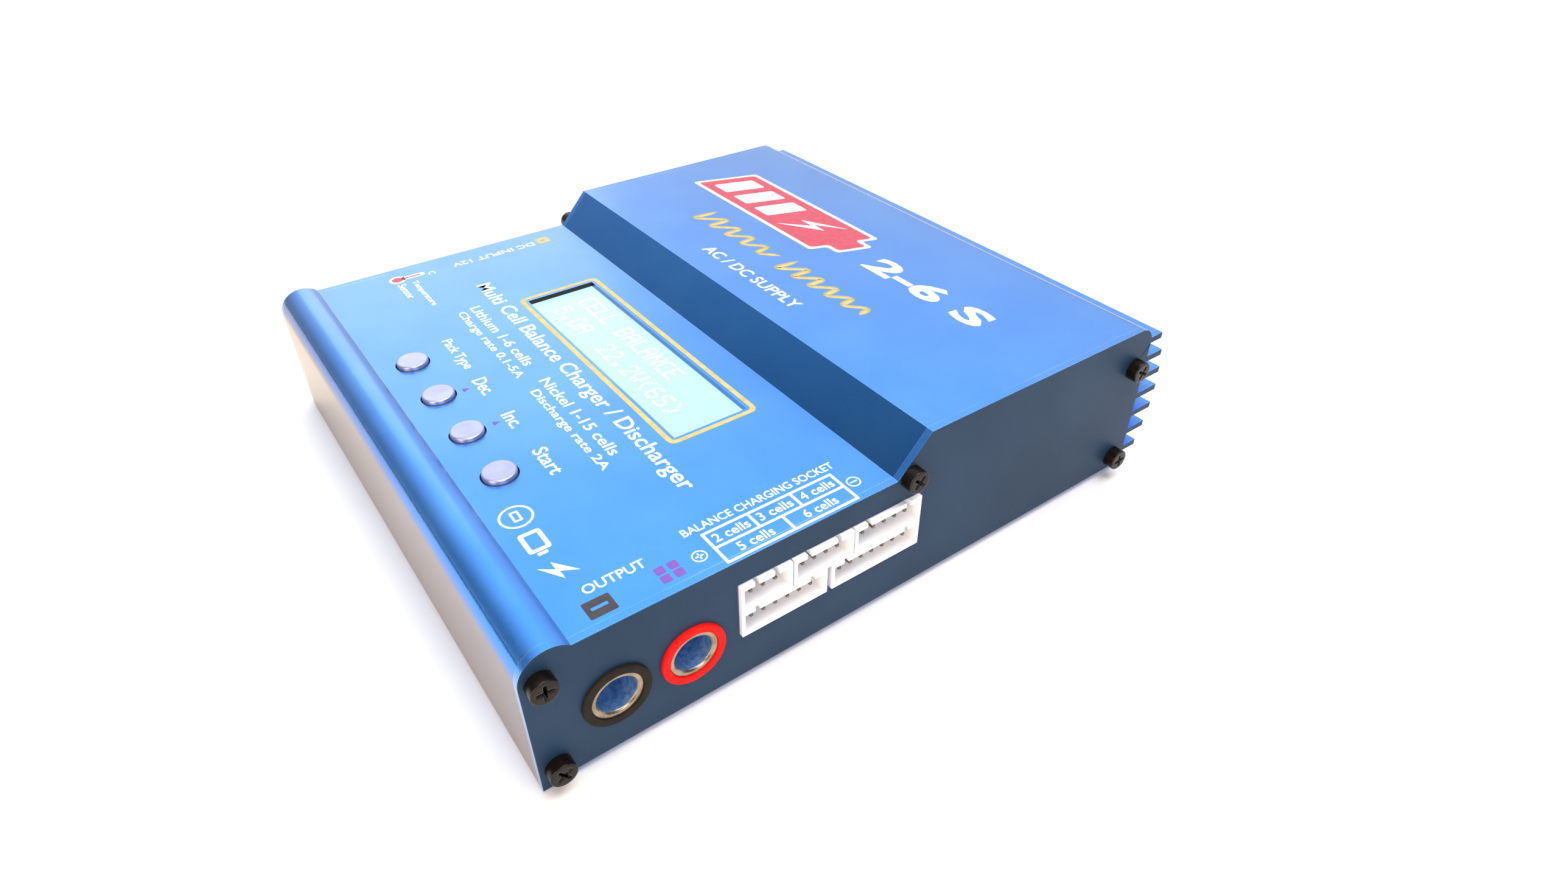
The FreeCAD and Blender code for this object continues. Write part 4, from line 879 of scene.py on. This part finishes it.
# %% Dot characters
GLYPHS = {
    "A": (".###.", "#...#", "#...#", "#####", "#...#", "#...#", "#...#"),
    "B": ("####.", "#...#", "#...#", "####.", "#...#", "#...#", "####."),
    "C": (".####", "#....", "#....", "#....", "#....", "#....", ".####"),
    "E": ("#####", "#....", "#....", "####.", "#....", "#....", "#####"),
    "L": ("#....", "#....", "#....", "#....", "#....", "#....", "#####"),
    "N": ("#...#", "##..#", "##..#", "#.#.#", "#..##", "#..##", "#...#"),
    "S": (".####", "#....", "#....", ".###.", "....#", "....#", "####."),
    "V": ("#...#", "#...#", "#...#", "#...#", ".#.#.", ".#.#.", "..#.."),
    "0": (".###.", "#...#", "#...#", "#...#", "#...#", "#...#", ".###."),
    "2": (".###.", "#...#", "....#", "...#.", "..#..", ".#...", "#####"),
    "5": ("#####", "#....", "####.", "....#", "....#", "#...#", ".###."),
    "6": (".###.", "#....", "#....", "####.", "#...#", "#...#", ".###."),
    ".": (".....", ".....", ".....", ".....", ".....", ".##..", ".##.."),
    "(": ("...#.", "..#..", ".#...", ".#...", ".#...", "..#..", "...#."),
    ")": (".#...", "..#..", "...#.", "...#.", "...#.", "..#..", ".#..."),
    " ": (".....",) * 7,
}
BLOCK_FACES = np.array([(0, 2, 3, 1), (4, 5, 7, 6), (0, 1, 5, 4), (2, 6, 7, 3), (0, 4, 6, 2), (1, 3, 7, 5)])


def blocks(name, low, high, material, **riding):
    """Many blocks in one mesh: corner k of a block takes low or high on each axis by k's three bits."""
    bits = (np.arange(8)[:, None] >> np.array((2, 1, 0))) & 1
    points = np.where(bits[None] == 1, high[:, None], low[:, None])
    faces = (BLOCK_FACES[None] + 8 * np.arange(len(low))[:, None, None]).reshape(-1, 4)
    return make_piece(name, points, faces, material, **riding)


def dot_line(words, start, top, pitch, cell):
    """The middles of the lit dots of a line: cell by cell along X, row by row down -Y."""
    rows = ["".join(GLYPHS[letter][row] + "." for letter in words) for row in range(7)]
    lit = np.array([[mark == "#" for mark in row] for row in rows])
    row, column = np.nonzero(lit)
    letter, dot = column // 6, column % 6
    return np.stack([start + letter * cell + dot * pitch[0], top - row * pitch[1]], axis=-1)


DOT_PITCH = (0.58, 0.62)
LETTER_PITCH = 3.52
LINES = (("CELL BALANCE", -27.4, -13.7), ("5.0A  22.2V(6S)", -27.0, -20.3))
dots = np.concatenate([dot_line(words, start, top, DOT_PITCH, LETTER_PITCH) for words, start, top in LINES])
half_dot = np.array((DOT_PITCH[0] * 0.49, DOT_PITCH[1] * 0.49))
low = np.column_stack([dots - half_dot, np.full(len(dots), glass_top + 0.005)])
high = np.column_stack([dots + half_dot, np.full(len(dots), glass_top + 0.03)])
blocks("display_characters", low, high, white_glow, slot="lcd_light")
print(len(dots), "lit dots")

# %% [markdown]
# ## Printed marks
#
# The marks are thin films on the decks. Lettering starts as a text object and a mark as a flat curve,
# each is made a mesh, and only then are its points scaled, leant, turned and set down on the deck. The
# words only say what a socket or a key does.

# %% Films on a deck
INK_THICKNESS = 0.02
SECOND_INK = INK_THICKNESS * 1.6
THIRD_INK = INK_THICKNESS * 2.2


def film_mesh(name, data):
    """A text or flat curve as a mesh of its own."""
    holder = bpy.data.objects.new(name, data)
    bpy.context.scene.collection.objects.link(holder)
    graph = bpy.context.evaluated_depsgraph_get()
    mesh = bpy.data.meshes.new_from_object(holder.evaluated_get(graph))
    bpy.data.objects.remove(holder)
    return mesh


def film_points(mesh):
    """The mesh's points as rows of x, y and height."""
    flat = np.empty(len(mesh.vertices) * 3, np.float32)
    mesh.vertices.foreach_get("co", flat)
    return flat.reshape(-1, 3).astype(float)


def lay_film(name, mesh, flat, level, lift, material):
    """Sets a film's points on a deck: its lower face in the surface, its upper face lift above it."""
    side = film_points(mesh)[:, 2] > 0
    height = np.where(side, level + lift, level - INK_THICKNESS)
    placed = np.column_stack([flat, height]) * MM
    mesh.vertices.foreach_set("co", placed.astype(np.float32).ravel())
    finish_mesh(mesh)
    mesh.polygons.foreach_set("use_smooth", np.zeros(len(mesh.polygons), bool))
    place_piece(name, mesh, material, (), "case")


def lettering(name, words, start, length, height, level=low_deck, turn=0, lean=0, bold=0.012):
    """White words fitted to a length and a letter height, leant by a share of their height, turned by an
    angle in degrees and set down with their lower left corner at start."""
    text = bpy.data.curves.new(name, "FONT")
    text.body = words
    text.extrude = 0.01
    text.offset = bold
    text.resolution_u = 3
    mesh = film_mesh(name, text)
    flat = film_points(mesh)[:, :2]
    flat = (flat - flat.min(axis=0)) / (flat.max(axis=0) - flat.min(axis=0)) * (length, height)
    flat[:, 0] += flat[:, 1] * lean
    c, s = math.cos(math.radians(turn)), math.sin(math.radians(turn))
    flat = flat @ np.array(((c, s), (-s, c))) + start
    lay_film(name, mesh, flat, level, INK_THICKNESS, white_ink)


def mark(name, loops, material, level=low_deck, lift=INK_THICKNESS):
    """A flat mark between closed outlines: a loop inside another is a hole."""
    curve = bpy.data.curves.new(name, "CURVE")
    curve.dimensions = "2D"
    curve.fill_mode = "BOTH"
    curve.extrude = 0.01
    for loop in loops:
        spline = curve.splines.new("POLY")
        spline.points.add(len(loop) - 1)
        rows = np.column_stack([loop, np.zeros(len(loop)), np.ones(len(loop))])
        spline.points.foreach_set("co", rows.ravel())
        spline.use_cyclic_u = True
    mesh = film_mesh(name, curve)
    flat = film_points(mesh)[:, :2]
    lay_film(name, mesh, flat, level, lift, material)


def ring_loop(middle, radius, steps=40):
    """A circle: middle + radius (cos a, sin a)."""
    angle = np.linspace(0, 2 * math.pi, steps, endpoint=False)
    return np.array(middle) + radius * np.column_stack([np.cos(angle), np.sin(angle)])


def frame_loop(low, high, radius):
    """A rectangle with rounded corners."""
    corners = [low, (high[0], low[1]), high, (low[0], high[1])]
    return eased(corners, radius, closed=True)


# %% [markdown]
# ### Marks on the low deck
#
# A gold line frames the window. Below it stand the title, two lines of ratings, and a word over each
# key. Three pictograms stand in the near corner, and the sockets and the supply side have their own.

# %% Frame and lines on the low deck
FRAME_GAP = 0.7
FRAME_LINE = 1.05
outer = FRAME_GAP + FRAME_LINE
mark("window_frame", [
    frame_loop(window_low[:2] - outer, window_high[:2] + outer, 1.9),
    frame_loop(window_low[:2] - FRAME_GAP, window_high[:2] + FRAME_GAP, 1.1),
], gold_ink)
lettering("title_line", "Multi Cell Balance Charger / Discharger", (-47.3, -35.6), 94.6, 4.6)
lettering("lithium_line", "Lithium 1-6 cells     Nickel 1-15 cells", (-37.6, -39.9), 68.5, 2.5)
lettering("rate_line", "Charge rate 0.1-5A     Discharge rate 2A", (-37.0, -43.6), 71.0, 2.5)
KEY_LABELS = (("Pack Type", -20.1, 13.9), ("Dec.", -4.8, 6.6), ("Inc.", 9.6, 5.6), ("Start", 25.4, 8.8))
for words, middle, wide in KEY_LABELS:
    name = words.split()[0].strip(".").lower() + "_label"
    lettering(name, words, (middle - wide / 2, -51.0), wide, 2.9)

for key, point in (("decrease", (-5.8, -53.1)), ("increase", (8.7, -52.7))):
    tip = np.array(point)
    mark(f"{key}_arrow", [tip + np.array([(0, 0.9), (-0.7, -0.5), (0.7, -0.5)])], violet_ink)

# %% Three plain pictograms in a row: a battery in a ring, a full battery and a bolt
ring_middle = np.array((36.5, -60.6))
mark("ring_sign", [ring_loop(ring_middle, 3.0), ring_loop(ring_middle, 2.6)], white_ink)
mark("ring_battery", [
    frame_loop(ring_middle - (1.5, 0.8), ring_middle + (1.3, 0.8), 0.2),
    frame_loop(ring_middle - (1.1, 0.4), ring_middle + (0.9, 0.4), 0.1),
], white_ink)
mark("battery_sign", [
    frame_loop((41.2, -62.6), (46.6, -58.6), 0.7),
    frame_loop((42.0, -61.8), (45.8, -59.4), 0.3),
], white_ink)
mark("battery_sign_end", [frame_loop((46.9, -61.5), (47.6, -59.7), 0.2)], white_ink)
small_bolt = [(50.2, -63.0), (54.6, -60.2), (52.6, -60.2), (54.2, -57.4), (50.0, -60.6), (52.0, -60.6)]
mark("bolt_sign", [np.array(small_bolt)], white_ink)

# %% Marks by the sockets
lettering("output_label", "OUTPUT", (59.8, -59.4), 10.9, 2.1, turn=90)
mark("negative_square", [
    frame_loop((61.2, -61.0), (65.0, -56.3), 0.3),
    frame_loop((62.7, -60.1), (63.4, -57.2), 0.2),
], black_ink)
plus_middle = np.array((62.95, -46.35))
QUARTER = 0.85
quarters = [(plus_middle + corner - QUARTER, plus_middle + corner + QUARTER)
            for corner in ((-1.05, -1.2), (-1.05, 1.2), (1.05, -1.2), (1.05, 1.2))]
mark("positive_square", [frame_loop(low, high, 0.3) for low, high in quarters], violet_ink)
TABLE_LOW = np.array((58.8, -37.7))
TABLE_HIGH = np.array((66.7, -10.9))
LINE = 0.55
table_middle = (TABLE_LOW[0] + TABLE_HIGH[0]) / 2
thirds = np.linspace(TABLE_LOW[1], TABLE_HIGH[1], 4)
half = (TABLE_LOW[1] + TABLE_HIGH[1]) / 2


def cell_loop(x, y):
    """One cell of the table: the space between its four lines."""
    inset = LINE / 2
    return frame_loop((x[0] + inset, y[0] + inset), (x[1] - inset, y[1] - inset), 0.05)


table_cells = [cell_loop((TABLE_LOW[0], table_middle), (a, b)) for a, b in zip(thirds, thirds[1:])]
halves = (thirds[0], half, thirds[3])
table_cells += [cell_loop((table_middle, TABLE_HIGH[0]), (a, b)) for a, b in zip(halves, halves[1:])]
mark("socket_table", [frame_loop(TABLE_LOW - LINE / 2, TABLE_HIGH + LINE / 2, 0.2)] + table_cells, white_ink)
for row, counts, edges in ((0, (2, 3, 4), thirds), (1, (5, 6), halves)):
    for count, low_edge, high_edge in zip(counts, edges, edges[1:]):
        lettering(f"table_{count}_cells", f"{count} cells",
                  (TABLE_LOW[0] + (row + 1) * 3.95 - 0.95, (low_edge + high_edge) / 2 - 3.5), 7.0, 2.1,
                  turn=90)
lettering("balance_label", "BALANCE CHARGING SOCKET", (57.7, -40.4), 31.6, 1.9, turn=90)
for name, along, upright in (("plus", -40.7, True), ("minus", -8.7, False)):
    place = np.array((62.8, along))
    bar = frame_loop(place - (0.14, 0.75), place + (0.14, 0.75), 0.02)
    mark(f"balance_{name}", [ring_loop(place, 1.35), ring_loop(place, 1.1), bar], white_ink)
    if upright:
        mark("balance_plus_bar", [frame_loop(place - (0.75, 0.14), place + (0.75, 0.14), 0.02)], white_ink)

# %% Marks by the supply side
lettering("supply_label", "DC INPUT 12V", (-62.2, -13.4), 21.5, 2.1, turn=-90, bold=0.018)
mark("supply_square", [
    frame_loop((-63.2, -12.4), (-60.0, -9.0), 0.3),
    frame_loop((-62.0, -11.2), (-61.2, -10.2), 0.2),
], gold_ink)
bulb = np.array((-61.4, -48.6))
tube = frame_loop(bulb + (-0.8, 1.0), bulb + (0.8, 6.6), 0.6)
mark("thermometer_back", [ring_loop(bulb, 1.9)], white_ink)
mark("thermometer_tube", [tube], white_ink)
mark("thermometer_fill", [ring_loop(bulb, 1.3)], red_ink, lift=SECOND_INK)
mark("thermometer_column", [frame_loop(bulb + (-0.3, 1.0), bulb + (0.3, 5.6), 0.25)], red_ink,
     lift=SECOND_INK)
lettering("celsius", "C", (-61.2, -41.4), 1.5, 1.7)
lettering("sensor_line", "Temperature", (-58.6, -46.6), 14.6, 1.9)
lettering("sensor_second_line", "Sensor", (-58.6, -49.6), 8.2, 1.9)

# %% [markdown]
# ### Marks on the high deck
#
# The high deck carries one large sign. It is a battery with three bars of charge and a bolt of
# lightning, in red with a white outline, with the number of cells beside it and two gold flourishes
# under it. A flourish is a flat ribbon carried along a wave: its width swells and thins as a pen's does.

# %% The battery sign
SIGN = np.array((-54.0, 33.0))
LEAN = 0.32


def leant(loop):
    """A loop set down at the sign's place, leant to the right by a share of its height."""
    loop = np.asarray(loop, float)
    return SIGN + np.column_stack([loop[:, 0] + loop[:, 1] * LEAN, loop[:, 1]])


def battery_loop(grow):
    """A battery's outline with its terminal, grown outwards."""
    corners = [(-grow, -grow), (50 + grow, -grow), (50 + grow, 4.2 - grow), (54 + grow, 4.2 - grow),
               (54 + grow, 10.8 + grow), (50 + grow, 10.8 + grow), (50 + grow, 15 + grow), (-grow, 15 + grow)]
    return eased(corners, 1.0, closed=True)


def bar_loop(start, width):
    """One bar of charge, from its left edge."""
    corners = [(start, 2.4), (start + width, 2.4), (start + width, 12.6), (start, 12.6)]
    return eased(corners, 0.6, closed=True)


bolt = [(33.5, 1.6), (41.8, 8.4), (37.6, 8.4), (43.0, 13.6), (33.6, 7.6), (38.0, 7.6)]
mark("battery_backing", [leant(battery_loop(1.0))], white_ink, level=high_deck)
mark("battery_body", [leant(battery_loop(0))], red_ink, level=high_deck, lift=SECOND_INK)
for order in range(3):
    mark(f"battery_bar_{order}", [leant(bar_loop(3 + order * 9.4, 6.2))], white_ink, level=high_deck,
         lift=THIRD_INK)
mark("battery_bolt", [leant(bolt)], white_ink, level=high_deck, lift=THIRD_INK)
lettering("cell_sign", "2-6 S", (10.0, 36.4), 36.0, 7.4, level=high_deck, lean=0.12, bold=0.035)
lettering("supply_line", "AC / DC SUPPLY", (-18.6, 11.4), 36.0, 3.2, level=high_deck, bold=0.015)

# %% The gold flourishes
FLOURISH_STEPS = 160
FLOURISH_LINE = 22.8


def flourish(name, start, length, waves, tall):
    """A pen stroke. Height = tall (1 - 0.55 sqrt t) cos(2 pi waves t), leant forwards by a share of
    it, and half the width grows from 0.34 to 0.84 mm with the steepness to the power 1.5."""
    t = np.linspace(0, 1, FLOURISH_STEPS)
    height = tall * (1 - 0.55 * np.sqrt(t)) * np.cos(2 * math.pi * waves * t)
    middle_line = np.column_stack([start + length * t + 0.45 * height, FLOURISH_LINE + height])
    direction = np.gradient(middle_line, axis=0)
    direction /= np.linalg.norm(direction, axis=1, keepdims=True)
    side = np.column_stack([-direction[:, 1], direction[:, 0]])
    taper = np.clip(np.minimum(t, 1 - t) * 25, 0.15, 1)
    half_width = ((0.34 + 0.5 * np.abs(direction[:, 1]) ** 1.5) * taper)[:, None]
    left, right = middle_line + side * half_width, middle_line - side * half_width
    top = np.full((FLOURISH_STEPS, 1), high_deck + INK_THICKNESS)
    below = np.full((FLOURISH_STEPS, 1), high_deck - INK_THICKNESS)
    section = np.stack([np.hstack([left, top]), np.hstack([right, top]),
                        np.hstack([right, below]), np.hstack([left, below])], axis=1)
    last = (FLOURISH_STEPS - 1) * 4
    ends = [(0, 1, 2, 3), (last + 3, last + 2, last + 1, last)]
    faces = np.concatenate([grid_faces(FLOURISH_STEPS, 4, columns_meet=True), ends])
    make_piece(name, section, faces, gold_ink)


flourish("gold_flourish_0", -36.5, 31.5, 5, 3.6)
flourish("gold_flourish_1", -1.5, 30.5, 5.5, 3.3)
print("printed marks are films of", INK_THICKNESS, "mm")

# %% [markdown]
# ## The floor
#
# The floor is the stage and not part of the charger. It is one large plain sheet of pale paper.

# %% Floor
FLOOR_SIDE = 6000
paper = surface("pale_paper", "#F4F4F5", "#F1F1F2", 60, 1.5, 0.02, (0.8, 0.95), {"Specular IOR Level": 0.1})
reach = FLOOR_SIDE / 2
corners = np.array(((-reach, -reach, 0), (reach, -reach, 0), (reach, reach, 0), (-reach, reach, 0)))
floor_mesh = bpy.data.meshes.new("floor")
floor_mesh.from_pydata((corners * MM).tolist(), [], [(0, 1, 2, 3)])
floor_mesh.materials.append(paper)
floor = bpy.data.objects.new("floor", floor_mesh)
bpy.context.scene.collection.objects.link(floor)
